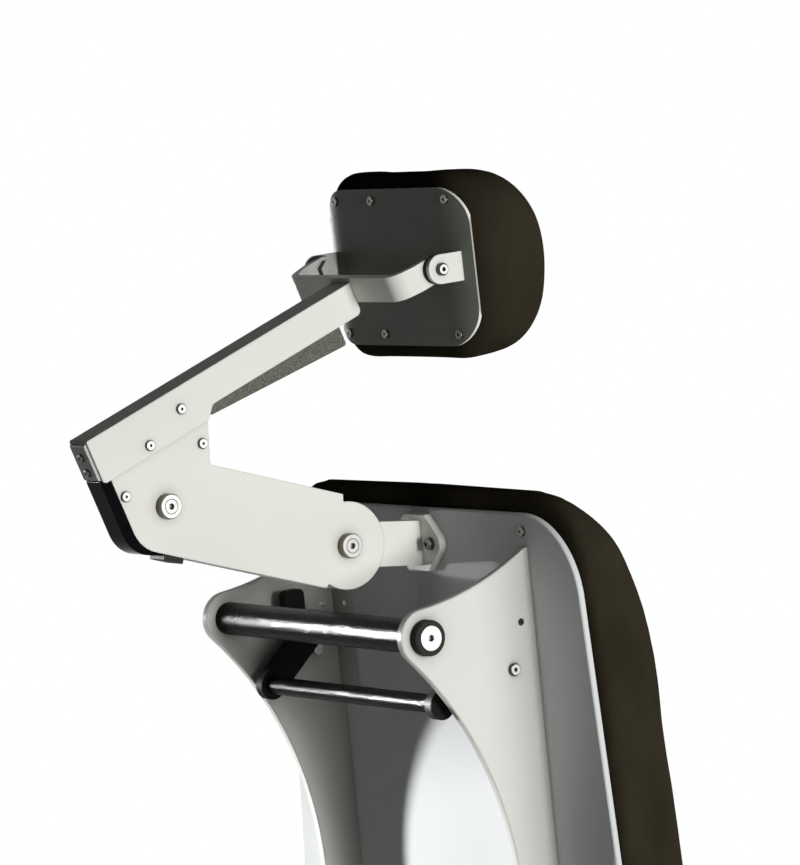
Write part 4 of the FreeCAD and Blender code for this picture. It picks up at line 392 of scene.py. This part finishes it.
flat_black = moulded("flat_black", (0.012, 0.012, 0.012), 0.55, 1400.0, 0.00004)
lever_grain = moulded("grained_lever", (0.10, 0.10, 0.085), 0.6, 700.0, 0.0003, contrast=1.9)
rubber = moulded("friction_rubber", (0.035, 0.034, 0.03), 0.6, 900.0, 0.00006)


def polished_black(name):
    """Glossy moulding: faint waves in place of a grain, and a gloss that hardly varies."""
    finish = Finish(name, Specular_IOR_Level=0.025)
    wave = finish.grain(40.0, 2.0)
    colour = finish.mix(finish.span(finish.grain(300.0, 3.0), 0.3, 0.7),
                        tone(0.002, 0.002, 0.003), tone(0.004, 0.004, 0.006))
    rough = finish.span(finish.grain(160.0, 4.0), 0.35, 0.75, 0.04, 0.1)
    return finish.feed(Base_Color=colour, Roughness=rough, Normal=finish.bump(wave, 0.0001, 0.4))


gloss_black = polished_black("gloss_black")
print("plastics:", flat_black.name, lever_grain.name, rubber.name, gloss_black.name)

# %% [markdown]
# Screws, pins and discs are turned from bar, which leaves fine rings round the axis that it was
# turned on. Most of them lie across the chair, so the rings could be bands of distance from
# each piece's own axis along X. A plain fine noise stretched along X reads the same at this
# size and fits every piece.

# %% Turned metals
def turned_metal(name, light, dark, rim, roughness, metallic=1.0):
    """Machined metal: tool marks, painted reflection and shade on the sides, painted shade in
    corners, painted highlight on edges.
    """
    finish = Finish(name, Metallic=metallic)
    rounded, edge = finish.softened(0.0005)
    marks = finish.grain(3000.0, 2.0, (0.15, 1.0, 1.0))
    stain = finish.span(finish.grain(120.0, 4.0), 0.35, 0.75)
    # The rim colour on sides that don't look along X is a painted reflection and shade.
    faced = finish.mix(looking_along(finish, SIDEWAYS, 0.8, 0.96), rim,
                       finish.mix(stain, light, dark))
    # Edges lightened: painted highlight.
    bright = finish.mix(edge * 0.3, faced, tone(0.95, 0.94, 0.9))
    # Corners, grooves and sockets darkened: painted shade.
    shaded_in_corners = finish.mix(finish.crevice(0.003, closed=0.55), bright, tone(0.010, 0.009, 0.008))
    rough = finish.span(marks, 0.3, 0.7, roughness - 0.06, roughness + 0.08)
    return finish.feed(Base_Color=shaded_in_corners, Roughness=rough,
                       Normal=finish.bump(marks, 0.000012, 1.0, rounded))


steel = turned_metal("turned_steel", tone(0.95, 0.95, 0.92), tone(0.84, 0.83, 0.79),
                     tone(0.13, 0.11, 0.07), 0.28, metallic=0.3)
screw_steel = turned_metal("turned_button_screw", tone(0.93, 0.93, 0.90), tone(0.82, 0.81, 0.78),
                           tone(0.035, 0.03, 0.022), 0.28, metallic=0.4)
# A darker copy of the turned steel, for screws on plates that face backwards: painted shade.
shaded_steel = turned_metal("turned_screw", tone(0.30, 0.30, 0.29), tone(0.20, 0.20, 0.19),
                          tone(0.13, 0.13, 0.12), 0.22)
dark_steel = turned_metal("blackened_steel", tone(0.05, 0.05, 0.048), tone(0.03, 0.03, 0.03),
                          tone(0.04, 0.04, 0.038), 0.4, metallic=0.7)
aluminium = turned_metal("turned_aluminium", tone(0.90, 0.905, 0.90), tone(0.84, 0.845, 0.84),
                         tone(0.45, 0.45, 0.44), 0.28)
brushed = turned_metal("brushed_tread", tone(0.52, 0.525, 0.52), tone(0.46, 0.465, 0.46),
                       tone(0.40, 0.40, 0.39), 0.34, metallic=0.6)
chrome = turned_metal("hard_chrome", tone(0.82, 0.82, 0.83), tone(0.76, 0.76, 0.78),
                      tone(0.80, 0.80, 0.82), 0.1)
print("metals:", *(metal.name for metal in (steel, screw_steel, shaded_steel, dark_steel, aluminium,
                                            brushed, chrome)))

# %% [markdown]
# The upholstery is a smooth vinyl that imitates leather: nearly black with a warm brown cast, a
# fine pebble grain and faint soft creases, whose hollows are darkened with painted shade. It is
# so matt that its specular level is nought: any shine at all would lift the thin tops of the
# cushions to grey, where they are seen edge on against white.

# %% Upholstery vinyl
def seat_vinyl(name):
    """Matt vinyl: a warm cast darker in the creases' hollows, and darker grain dimples, both
    painted shade.
    """
    finish = Finish(name, Specular_IOR_Level=0.0)
    pebble = finish.cells(1150.0)
    fold = finish.grain(16.0, 5.0, (1.0, 1.0, 0.6))
    fine = finish.grain(2600.0, 2.0)
    # The cast follows the creases' height, darker in their hollows: painted shade.
    cast = finish.mix(finish.span(fold, 0.35, 0.7), tone(0.0270, 0.0225, 0.0140),
                      tone(0.0380, 0.0325, 0.0215))
    # The pebble grain's dimples are darkened: painted shade.
    colour = finish.mix(finish.span(pebble, 0.0, 0.45, 0.35, 0.0), cast,
                        tone(0.004, 0.003, 0.003))
    rough = finish.span(finish.grain(60.0, 4.0), 0.3, 0.7, 0.44, 0.58)
    creases = finish.bump(fold, 0.0012, 0.35)
    skin = finish.bump(finish.span(pebble, 0.0, 0.5) * 0.8 + fine * 0.2, 0.00009, 0.8, creases)
    return finish.feed(Base_Color=colour, Roughness=rough, Normal=skin)


vinyl = seat_vinyl("seat_vinyl")
print("upholstery:", vinyl.name)

# %% [markdown]
# Each node of the frame already has a material slot, named in the record. The finishes go to
# those slots by name, and nothing else about a node is touched. A few nodes differ from the
# rest of their slot and are listed by name, such as the headrest's plate with its bright edge,
# and the screws.

# %% Dress the frame
finish_of_slot = {
    "silver_paint": silver, "plate_paint": pearl, "dark_paint": base_paint,
    "black_powder": crinkle, "black_plastic": flat_black, "gloss_black": gloss_black,
    "black_rubber": rubber, "steel": steel, "dark_steel": dark_steel, "aluminium": aluminium,
    "chrome": chrome, "upholstery": vinyl,
}
finish_of_node = {
    "headrest_plate": headrest_paint, "arm_release_lever": lever_grain,
    "side_panel_left": panelled, "side_panel_right": panelled,
    "arm_channel": folded, "link_channel": folded, "arm_end_cap": cap_grey,
    "handle_end_rings": rubber, "release_pins": dark_steel, "foot_plate": brushed,
    "arm_screws": screw_steel, "lobe_screws": screw_steel, "ear_bolts": screw_steel,
    # The screws on backward faces take the darker copy of the steel: painted shade.
    "panel_screws": screw_steel, "headrest_screws": shaded_steel, "flange_bolts": shaded_steel,
    "plate_screws": shaded_steel,
}
slot_of_node = {part["node"]: part["material_slot"] for part in frame["record"]["subparts"]}
for name, piece in frame["nodes"].items():
    finish = finish_of_node.get(name, finish_of_slot[slot_of_node[name]])
    for slot in piece.material_slots:
        slot.material = finish
print("dressed:", len(frame["nodes"]), "nodes in", len(set(slot_of_node.values())), "slots")

# %% [markdown]
# All the upholstery is foam in a tight vinyl skin. A pad is drawn as rings, one inside the
# next: in from the middle of the hidden face to its edge, round the side, and in again over the
# face that is sat on. The two faces are given as depths over the outline, so that a pad can be
# thin at its top or dished in its middle. The rings only give the pattern. Then the form is
# remeshed into even squares, and the foam's push is simulated, as when a real cover is pulled
# over it.

# %% Outline of a pad
CORNER_STEPS = 10
OUTLINE_POINTS = 160


def rounded_outline(corners):
    """Points round a polygon of (x, z, radius) corners, with each corner an arc."""
    points = []
    for place, (x, z, radius) in enumerate(corners):
        corner = Vector((x, z))
        before = (Vector(corners[place - 1][:2]) - corner).normalized()
        after = (Vector(corners[(place + 1) % len(corners)][:2]) - corner).normalized()
        half = before.angle(after) / 2
        middle = corner + (before + after).normalized() * (radius / math.sin(half))
        first = corner + before * (radius / math.tan(half)) - middle
        last = corner + after * (radius / math.tan(half)) - middle
        sweep = first.angle_signed(last)
        for step in range(CORNER_STEPS + 1):
            points.append(middle + Matrix.Rotation(-sweep * step / CORNER_STEPS, 2) @ first)
    return resampled(points, OUTLINE_POINTS)


def resampled(points, count):
    """The same closed line with evenly spaced points."""
    closed = points + [points[0]]
    lengths = [(b - a).length for a, b in zip(closed, closed[1:])]
    spacing = sum(lengths) / count
    even = []
    walked, leg = 0.0, 0
    for number in range(count):
        target = number * spacing
        while walked + lengths[leg] < target:
            walked += lengths[leg]
            leg += 1
        part = (target - walked) / max(lengths[leg], 1e-9)
        even.append(closed[leg].lerp(closed[leg + 1], part))
    return even


def inset(points, distance):
    """The outline moved inward, along each point's own normal."""
    moved = []
    for place, point in enumerate(points):
        along = (points[(place + 1) % len(points)] - points[place - 1]).normalized()
        inward = Vector((-along.y, along.x))
        moved.append(point + inward * distance)
    return moved


sample = rounded_outline([(0, 0, 10), (100, 0, 10), (100, 50, 10), (0, 50, 10)])
print("outline points", len(sample), "inset x", round(min(p.x for p in inset(sample, 5)), 1))

# %% [markdown]
# Both faces of a pad are filled with smaller and smaller rings, so that each face can bend.
# Both edges are rounded, with a small radius at the back and a large one at the front, where
# the foam is free: a ring on a rounded edge is the outline moved in, and it drops away from its
# face.

# %% Rings of a pad
FACE_PARTS = (0.1, 0.3, 0.5, 0.7, 0.85)  # where the rings over a face lie, from middle to edge
REAR_TURNS = (0, 30, 60, 90)  # degrees round the rear edge, out from the face
FRONT_TURNS = (90, 75, 60, 45, 30, 15, 0)  # and round the front edge, back in


def face_rings(side, outline, radius, parts):
    """Rings inside a face of the pad, each part of the way from its middle to its edge."""
    middle = sum(outline, Vector((0, 0))) / len(outline)
    return [(side, 0.0, [middle.lerp(point, part) for point in inset(outline, radius)])
            for part in parts]


def edge_rings(side, outline, radius, turns):
    """Rings round a rounded edge, each with its drop from the face as a part of the radius."""
    angles = [math.radians(turn) for turn in turns]
    return [(side, 1 - math.cos(angle), inset(outline, radius * (1 - math.sin(angle))))
            for angle in angles]


print("rings in a pad:", 2 * len(FACE_PARTS) + len(REAR_TURNS) + len(FRONT_TURNS))

# %% [markdown]
# The pattern of a pad is a closed mesh: the rings, bridged, with a face at each end. Depth runs
# forward from the piece that carries the pad. Where a pad is thin, neither rounded edge takes
# more than its share of the thickness, or the two would cross.

# %% Pattern of a pad
REAR_SHARE, FRONT_SHARE = 0.4, 0.6
WELD = 0.00005


def pad_pattern(name, outline, rear, front, round_rear, round_front, place, face):
    """A pad between two depth surfaces over an outline in millimetres.

    rear and front give the depth at (x, z); face turns (x, depth, z) into the carrier's axes.
    """
    rings = (face_rings("rear", outline, round_rear, FACE_PARTS)
             + edge_rings("rear", outline, round_rear, REAR_TURNS)
             + edge_rings("front", outline, round_front, FRONT_TURNS)
             + face_rings("front", outline, round_front, reversed(FACE_PARTS)))
    mesh = bmesh.new()
    rows = []
    for side, drop, ring in rings:
        row = []
        for point in ring:
            back, ahead = rear(point.x, point.y), front(point.x, point.y)
            if side == "rear":
                depth = back + min(round_rear, REAR_SHARE * (ahead - back)) * drop
            else:
                depth = ahead - min(round_front, FRONT_SHARE * (ahead - back)) * drop
            row.append(mesh.verts.new(place @ (Vector(face(point.x, depth, point.y)) * MM)))
        rows.append(row)
    for inner, outer in zip(rows, rows[1:]):
        for spot in range(len(inner)):
            beside = (spot + 1) % len(inner)
            mesh.faces.new((inner[spot], inner[beside], outer[beside], outer[spot]))
    mesh.faces.new(list(reversed(rows[0])))
    mesh.faces.new(rows[-1])
    bmesh.ops.remove_doubles(mesh, verts=mesh.verts, dist=WELD)
    bmesh.ops.recalc_face_normals(mesh, faces=mesh.faces)
    data = bpy.data.meshes.new(name)
    mesh.to_mesh(data)
    mesh.free()
    pad = bpy.data.objects.new(name, data)
    bpy.context.collection.objects.link(pad)
    return pad


print("pattern shares the thickness", REAR_SHARE, "to", FRONT_SHARE)

# %% [markdown]
# The pattern's faces are long and thin, and a simulated skin needs even squares. A voxel remesh
# gives them, and a few rounds of smoothing take away the steps that it leaves on sloping faces.

# %% Even squares
EVENING_ROUNDS = 8


def evaluated(pad):
    """The pad as its modifiers leave it."""
    return pad.evaluated_get(bpy.context.evaluated_depsgraph_get())


def even_mesh(pad, square):
    """Replace the pad's mesh by even squares of the given size in metres."""
    remesh = pad.modifiers.new("even", "REMESH")
    remesh.mode = "VOXEL"
    remesh.voxel_size = square
    relaxed = pad.modifiers.new("relaxed", "SMOOTH")
    relaxed.iterations = EVENING_ROUNDS
    pad.data = bpy.data.meshes.new_from_object(evaluated(pad))
    pad.modifiers.clear()


print("rounds of evening:", EVENING_ROUNDS)

# %% [markdown]
# A bare simulation leaves small waves along thin edges. Smoothing the pad itself would shrink
# it, so each point's move is shared with its neighbours instead, before it is applied: the
# large swelling stays and the waves go. A stand-in mesh whose points are the moves lets a
# Smooth modifier do it.

# %% Calm the moves
SHARING_ROUNDS = 80


def calmed(pad, moves):
    """The moves of a pad's points, each shared with its neighbours, so that no waves remain."""
    stand_in = pad.data.copy()
    for vertex, move in zip(stand_in.vertices, moves):
        vertex.co = move
    helper = bpy.data.objects.new("helper", stand_in)
    bpy.context.collection.objects.link(helper)
    sharing = helper.modifiers.new("sharing", "SMOOTH")
    sharing.iterations = SHARING_ROUNDS
    shared = [vertex.co.copy() for vertex in evaluated(helper).to_mesh().vertices]
    bpy.data.objects.remove(helper)
    bpy.data.meshes.remove(stand_in)
    return shared


print("rounds of sharing:", SHARING_ROUNDS)

# %% [markdown]
# Foam under a tight skin swells where nothing holds it. Cloth simulation with air pressure
# inside the closed mesh gives that: the face that lies on the metal is pinned, gravity is off,
# and the skin settles in twenty frames. How far a point may move is capped, so that a pad keeps
# its size.

# %% Swell a pad
SETTLING_FRAMES = 20
FOAM_PRESSURE = 4.0


def swell(pad, held, cap):
    """Simulate the foam's push; held says which points stay, cap is the largest move."""
    start = [vertex.co.copy() for vertex in pad.data.vertices]
    pinned = pad.vertex_groups.new(name="held")
    pinned.add([number for number, point in enumerate(start) if held(point)], 1.0, "REPLACE")
    cloth = pad.modifiers.new("cloth", "CLOTH")
    cloth.settings.quality = 5
    cloth.settings.mass = 0.3
    cloth.settings.tension_stiffness = 15
    cloth.settings.compression_stiffness = 15
    cloth.settings.shear_stiffness = 6
    cloth.settings.bending_stiffness = 5
    cloth.settings.use_pressure = True
    cloth.settings.uniform_pressure_force = FOAM_PRESSURE
    cloth.settings.vertex_group_mass = "held"
    cloth.settings.effector_weights.gravity = 0
    cloth.collision_settings.use_collision = False
    cloth.point_cache.frame_start = 1
    cloth.point_cache.frame_end = SETTLING_FRAMES
    for frame_number in range(1, SETTLING_FRAMES + 1):
        bpy.context.scene.frame_set(frame_number)
    swollen = bpy.data.meshes.new_from_object(evaluated(pad))
    pad.modifiers.clear()
    pad.data = swollen
    bpy.context.scene.frame_set(1)
    moves = [vertex.co - before for vertex, before in zip(pad.data.vertices, start)]
    largest = max(move.length for move in moves)
    capped = [move if move.length <= cap else move.normalized() * cap for move in moves]
    for vertex, before, move in zip(pad.data.vertices, start, calmed(pad, capped)):
        vertex.co = before + move
    print(pad.name, "swelled by up to", round(largest / MM, 1), "mm, capped at",
          round(cap / MM, 1))


print("swelling takes", SETTLING_FRAMES, "frames")

# %% [markdown]
# Every pad goes through the same steps: it is evened, swelled and smoothed, it gets the vinyl,
# and it is hung on the body that carries it, in place of the plain block that the frame has
# there.

# %% Upholster a pad
def upholster(pad, body, node, held, square, cap):
    """Remesh, swell and finish a pad, and hang it on its body in place of its frame node.

    square is the size of the mesh's squares and cap is the largest swelling, in metres.
    """
    even_mesh(pad, square)
    swell(pad, held, cap)
    smooth = pad.modifiers.new("fine", "SUBSURF")
    smooth.levels = smooth.render_levels = 1
    for face in pad.data.polygons:
        face.use_smooth = True
    pad.data.materials.clear()
    pad.data.materials.append(vinyl)
    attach(pad, body)
    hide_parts(node)
    low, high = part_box(node)
    print(pad.name, "faces", len(pad.data.polygons), "node box",
          [round(v, 3) for v in (*low, *high)])


print("upholstery ready:", vinyl.name)

# %% [markdown]
# The backrest's cushion lies on a steel plate and stands a little proud of it all round. It
# narrows towards the top, and its top rolls forward in a long curve, so that it is thin where
# the sitter's neck begins. Its front is a little dished, so that the sides hold the back. It is
# drawn upright, in millimetres from the middle of the push handle's tube, and its depths are
# counted forward from there.

# %% Backrest cushion
def smooth_step(value):
    """0 below 0, 1 above 1, and a soft rise between them."""
    value = min(max(value, 0.0), 1.0)
    return value * value * (3 - 2 * value)


BACK_REAR = 136.6  # the plate's front face
BACK_HALF, BACK_NARROWING = 258.5, math.tan(math.radians(4.2))
BACK_FOOT, BACK_SHOULDER, BACK_TOP = -506, 123, 128
TOP_EDGE, FULL_FOAM, FULLER_LOW = 9, 72, 4  # foam at the top edge, added below it, and low down
LOW_REACH = 240
ROLL_STARTS, ROLL_ENDS, ROLL_POWER = -70, 131, 1.75
DISH_FRONT, DISH_LEAN = 188, 0.0446  # the dish's floor is a plane that leans a little
DISH_FLAT, DISH_RISE = 110, 115  # half the width of the dish's floor, and the width of each slope
GLUED = 4  # foam this near to its plate is held


def back_half_width(level):
    """Half the cushion's width at a height."""
    return BACK_HALF - level * BACK_NARROWING


def back_depth(x, z):
    """Front of the foam: full along both sides, dished between them, rolled away at the top."""
    roll = min(max((z - ROLL_STARTS) / (ROLL_ENDS - ROLL_STARTS), 0), 1)
    rolled = (1 - roll ** ROLL_POWER) ** (1 / ROLL_POWER)
    foam = FULL_FOAM + FULLER_LOW * smooth_step(-z / LOW_REACH)
    full = BACK_REAR + TOP_EDGE + foam * rolled
    dished = max(full - (DISH_FRONT - DISH_LEAN * z), 0)
    return full - dished * (1 - smooth_step((abs(x) - DISH_FLAT) / DISH_RISE))


def facing_forward(x, depth, z):
    """A pad that stands up: its depth runs along -Y."""
    return (x, -depth, z)


foot_half = back_half_width(BACK_FOOT)
top_half = back_half_width(99)  # the sides narrow up to here, just under the shoulders
back_outline = rounded_outline([(-foot_half, BACK_FOOT, 70), (foot_half, BACK_FOOT, 70),
                                (top_half, BACK_SHOULDER, 80), (0, BACK_TOP, 900),
                                (-top_half, BACK_SHOULDER, 80)])
back_pad = pad_pattern("back_cushion_soft", back_outline, lambda x, z: BACK_REAR, back_depth,
                       round_rear=9, round_front=28, place=back_place, face=facing_forward)
back_upright = back_place.inverted()
upholster(back_pad, "backrest", "back_cushion",
          lambda point: (back_upright @ point).y > -(BACK_REAR + GLUED) * MM,
          square=0.006, cap=0.006)

# %% [markdown]
# The headrest's pad wraps forward at both sides to hold the head, and it is dished in the
# middle. Its back follows the bent plate: flat behind the neck, then turned forward on a
# radius.

# %% Headrest cushion
PLATE_FRONT, PLATE_FLAT = 25.4, 80  # depth of the plate's flat part, and half its width
PLATE_BEND, BEND_REACH = 87, 62
HEAD_FRONT, HEAD_MIDDLE = 119, 5
HEAD_ROLL = 12  # how far the front falls back at the top and the bottom
HEAD_DISH, HEAD_HOLLOW = 14, 10  # how far its middle falls back, and how much more at the centre
WING_STARTS, WING_RISE = 18, 92
HOLLOW_REACH, HEAD_ROLL_REACH = 110, 95
HEAD_HALF = 135


def head_rear(x, z):
    """Depth of the plate's front face: flat, then an arc."""
    beyond = min(max(abs(x) - PLATE_FLAT, 0), BEND_REACH)
    return PLATE_FRONT + PLATE_BEND - math.sqrt(PLATE_BEND ** 2 - beyond ** 2)


def head_front(x, z):
    """Front of the foam: full at both wings, dished between them, rolled at top and bottom."""
    wing = smooth_step((abs(x) - WING_STARTS) / WING_RISE)
    away = abs(z - HEAD_MIDDLE)
    dish = HEAD_DISH + HEAD_HOLLOW * (1 - smooth_step(away / HOLLOW_REACH))
    return HEAD_FRONT - HEAD_ROLL * smooth_step(away / HEAD_ROLL_REACH) - (1 - wing) * dish


head_outline = rounded_outline([(-HEAD_HALF, -95, 62), (HEAD_HALF, -95, 62),
                                (HEAD_HALF, 94, 68), (-HEAD_HALF, 94, 68)])
head_pad = pad_pattern("headrest_cushion_soft", head_outline, head_rear, head_front,
                       round_rear=14, round_front=34, place=head_place, face=facing_forward)
head_upright = head_place.inverted()


def on_headrest_plate(point):
    """True for foam that lies on the bent plate."""
    local = (head_upright @ point) / MM
    return -local.y < head_rear(local.x, local.z) + 3


upholster(head_pad, "headrest", "headrest_cushion", on_headrest_plate, square=0.005, cap=0.005)

# %% [markdown]
# The seat is the thickest pad. It is drawn nearly flat, falling a little towards the front
# edge, which bears under the knees, and the swelling crowns its top. It is drawn lying down:
# depth is height.

# %% Seat cushion
SEAT_BOARD, SEAT_TOP = 416.3, 492
SEAT_HALF, SEAT_FRONT, SEAT_BACK = 277, -262, 222
FRONT_FALL = 3
SEAT_HELD = 0.420  # foam below this height, in metres, is held
UPRIGHT = Matrix.Identity(4)  # the place of a pad that doesn't lean


def seat_height(x, y):
    """Top of the foam: flat, then a slight fall to the front edge."""
    return SEAT_TOP - FRONT_FALL * smooth_step((-150 - y) / 110)


def facing_up(x, depth, y):
    """A pad that lies down: its depth runs along Z."""
    return (x, y, depth)


seat_outline = rounded_outline([(-SEAT_HALF, SEAT_FRONT, 70), (SEAT_HALF, SEAT_FRONT, 70),
                                (SEAT_HALF, SEAT_BACK, 60), (-SEAT_HALF, SEAT_BACK, 60)])
seat_pad = pad_pattern("seat_cushion_soft", seat_outline, lambda x, y: SEAT_BOARD, seat_height,
                       round_rear=8, round_front=24, place=UPRIGHT, face=facing_up)
upholster(seat_pad, "seat", "seat_cushion", lambda point: point.z < SEAT_HELD,
          square=0.006, cap=0.007)

# %% [markdown]
# The legrest pad carries the calves: a plain rounded slab on its board. Nothing about it is
# hollow or rolled, so its two faces are flat and the swelling alone gives it life.

# %% Legrest cushion
LEG_REAR, LEG_FRONT = 311.3, 363
LEG_HALF, LEG_FOOT, LEG_TOP, LEG_CORNER = 212, 116, 372, 50
leg_outline = rounded_outline([(-LEG_HALF, LEG_FOOT, LEG_CORNER), (LEG_HALF, LEG_FOOT, LEG_CORNER),
                               (LEG_HALF, LEG_TOP, LEG_CORNER), (-LEG_HALF, LEG_TOP, LEG_CORNER)])
leg_pad = pad_pattern("legrest_cushion_soft", leg_outline, lambda x, z: LEG_REAR,
                      lambda x, z: LEG_FRONT, round_rear=8, round_front=22, place=UPRIGHT,
                      face=facing_forward)
upholster(leg_pad, "legrest", "legrest_cushion",
          lambda point: point.y > -(LEG_REAR + GLUED) * MM, square=0.006, cap=0.006)

# %% [markdown]
# The armrest pads are firm, because people push themselves up on them: small, with a slightly
# crowned top. Both come from one recipe. Left and right are the sitter's, so the left one is on
# the +X side.

# %% Armrest pads
ARM_ACROSS, ARM_HALF, ARM_END, ARM_CORNER = 325, 29, 213, 22
ARM_BOARD, ARM_TOP = 679.3, 711
ARM_HELD = 0.6815  # in metres, like the seat's
for side, name in ((1, "left"), (-1, "right")):
    low_x, high_x = ARM_ACROSS * side - ARM_HALF, ARM_ACROSS * side + ARM_HALF
    outline = rounded_outline([(low_x, -ARM_END, ARM_CORNER), (high_x, -ARM_END, ARM_CORNER),
                               (high_x, ARM_END, ARM_CORNER), (low_x, ARM_END, ARM_CORNER)])
    pad = pad_pattern("armrest_pad_%s_soft" % name, outline, lambda x, y: ARM_BOARD,
                      lambda x, y: ARM_TOP, round_rear=4, round_front=11, place=UPRIGHT,
                      face=facing_up)
    upholster(pad, "armrest_" + name, "armrest_pad_" + name, lambda point: point.z < ARM_HELD,
              square=0.004, cap=0.002)

# %% [markdown]
# The background is white, but it must not be made with more light, because that would wash out
# the chair. A Light Path node tells rays from the camera, from glossy surfaces and through
# clear ones apart from the rays that carry soft light. So a sight mask is 1 for eyes and
# mirrors and 0 for soft light, and the same mask serves the floor and the world.

# %% A mask for rays that see
EYE_RAYS = ("Is Camera Ray", "Is Glossy Ray", "Is Transmission Ray")


def seen_by_eye(graph):
    """1 for rays from the camera, off glossy surfaces and through clear ones, or else 0."""
    eye, glossy, clear = [graph.node("ShaderNodeLightPath", output=kind) for kind in EYE_RAYS]
    mirrored = graph.node("ShaderNodeMath", {"operation": "MAXIMUM"}, {0: glossy, 1: clear})
    return graph.node("ShaderNodeMath", {"operation": "MAXIMUM"}, {0: eye, 1: mirrored})


print("sight mask of", len(EYE_RAYS), "kinds of ray")

# %% [markdown]
# The floor is a pale disc that catches the chair's shadow. Towards its rim it turns into plain
# white light for the eye, so that it has no edge against the white room.

# %% Floor
FLOOR_RADIUS = 3.3
RIM_STARTS, RIM_ENDS = 1.2, 3.2  # where the veil begins to close, and where it is shut
VEIL = 0.62


def pale_floor():
    """Pale paint under a veil of white that only the eye sees, and that closes towards the rim."""
    paint = Finish("pale_floor", Roughness=0.65, Specular_IOR_Level=0.1)
    away = paint.node("ShaderNodeVectorMath", {"operation": "LENGTH"},
                      {0: paint.node("ShaderNodeTexCoord", output="Object")}, output="Value")
    speck = paint.span(paint.grain(60.0, 4.0), 0.3, 0.7)
    paint.feed(Base_Color=paint.mix(speck, tone(0.80, 0.80, 0.795), tone(0.84, 0.84, 0.835)))
    white = paint.node("ShaderNodeEmission", {}, {"Color": tone(1.0), "Strength": 1.0})
    veil = paint.span(away, RIM_STARTS, RIM_ENDS, VEIL, 1.0) * seen_by_eye(paint)
    body = Wire(paint, paint.shader.outputs[0])
    blend = paint.node("ShaderNodeMixShader", {}, {0: veil, 1: body, 2: white})
    paint.tree.links.new(blend.socket, paint.tree.nodes["Material Output"].inputs["Surface"])
    return paint.material


disc = bmesh.new()
bmesh.ops.create_circle(disc, cap_ends=True, segments=96, radius=FLOOR_RADIUS)
floor_mesh = bpy.data.meshes.new("floor")
disc.to_mesh(floor_mesh)
disc.free()
floor = bpy.data.objects.new("floor", floor_mesh)
bpy.context.collection.objects.link(floor)
floor.location.z = -0.001
floor_mesh.materials.append(pale_floor())
print("floor radius", FLOOR_RADIUS, "m")

# %% [markdown]
# Five lamps stand round the chair. The fill is a soft lamp level with the chair's right side,
# and does most of the work: faces that look sideways are bright and faces that look backwards
# stay dark. The key stands behind on the left with a narrow beam, and throws the far side
# panel's shadow across the back plate. The glint stands near it and only shows in reflections:
# it draws the bright line along the handle's tube. The front lamp lights the seat, and the far
# lamp lights the chair's left side.

# %% Lamps
CHEST = Vector((0, 0.42, 1.15))


def stand_lamp(name, kind, direction, distance, watts, aim=CHEST, **settings):
    """A lamp that stands in a direction from its aim and points at it."""
    data = bpy.data.lights.new(name, kind)
    data.energy = watts
    for setting, value in settings.items():
        setattr(data, setting, value)
    lamp = bpy.data.objects.new(name, data)
    bpy.context.collection.objects.link(lamp)
    lamp.location = aim + Vector(direction).normalized() * distance
    lamp.rotation_mode = "QUATERNION"
    lamp.rotation_quaternion = (aim - lamp.location).to_track_quat("-Z", "Y")
    print(name, "at", [round(v, 2) for v in lamp.location], watts, "W")
    return lamp


stand_lamp("key", "SPOT", (0.87, 0.44, 0.0), 3.0, 920, aim=Vector((0.02, 0.36, 0.735)),
           spot_size=math.radians(9.4), spot_blend=0.15, shadow_soft_size=0.15)
glint = stand_lamp("glint", "AREA", (0.82, 0.57, 0.0), 3.0, 4.6, aim=Vector((0, 0.60, 0.98)),
                   size=0.2, spread=math.radians(7))
glint.visible_diffuse = False
stand_lamp("fill", "AREA", (-0.995, -0.02, 0.03), 4.2, 24, aim=Vector((0, 0.45, 1.15)),
           shape="RECTANGLE", size=0.9, size_y=1.4, spread=math.radians(70))
stand_lamp("front", "AREA", (-0.05, -0.99, 0.14), 3.6, 50, size=1.6)
stand_lamp("far", "AREA", (0.98, -0.2, 0.06), 4.2, 50, shape="RECTANGLE", size=0.9, size_y=1.4)

# %% [markdown]
# The world is white for the eye, and gives only a very weak even light to everything else. It
# is a graph like a finish's, so the same mask drives its strength. The Standard view shows
# every colour as it is written.

# %% World
SOFT_LEVEL = 0.008
world = bpy.data.worlds.new("room")
world.use_nodes = True
room = Graph(world.node_tree)
background = room.tree.nodes["Background"]
background.inputs["Color"].default_value = tone(1.0)
strength = room.span(seen_by_eye(room), 0.0, 1.0, SOFT_LEVEL, 1.0)
room.tree.links.new(strength.socket, background.inputs["Strength"])
bpy.context.scene.world = world
bpy.context.scene.view_settings.view_transform = "Standard"
print("world:", world.name, "with soft light", SOFT_LEVEL)

# %% [markdown]
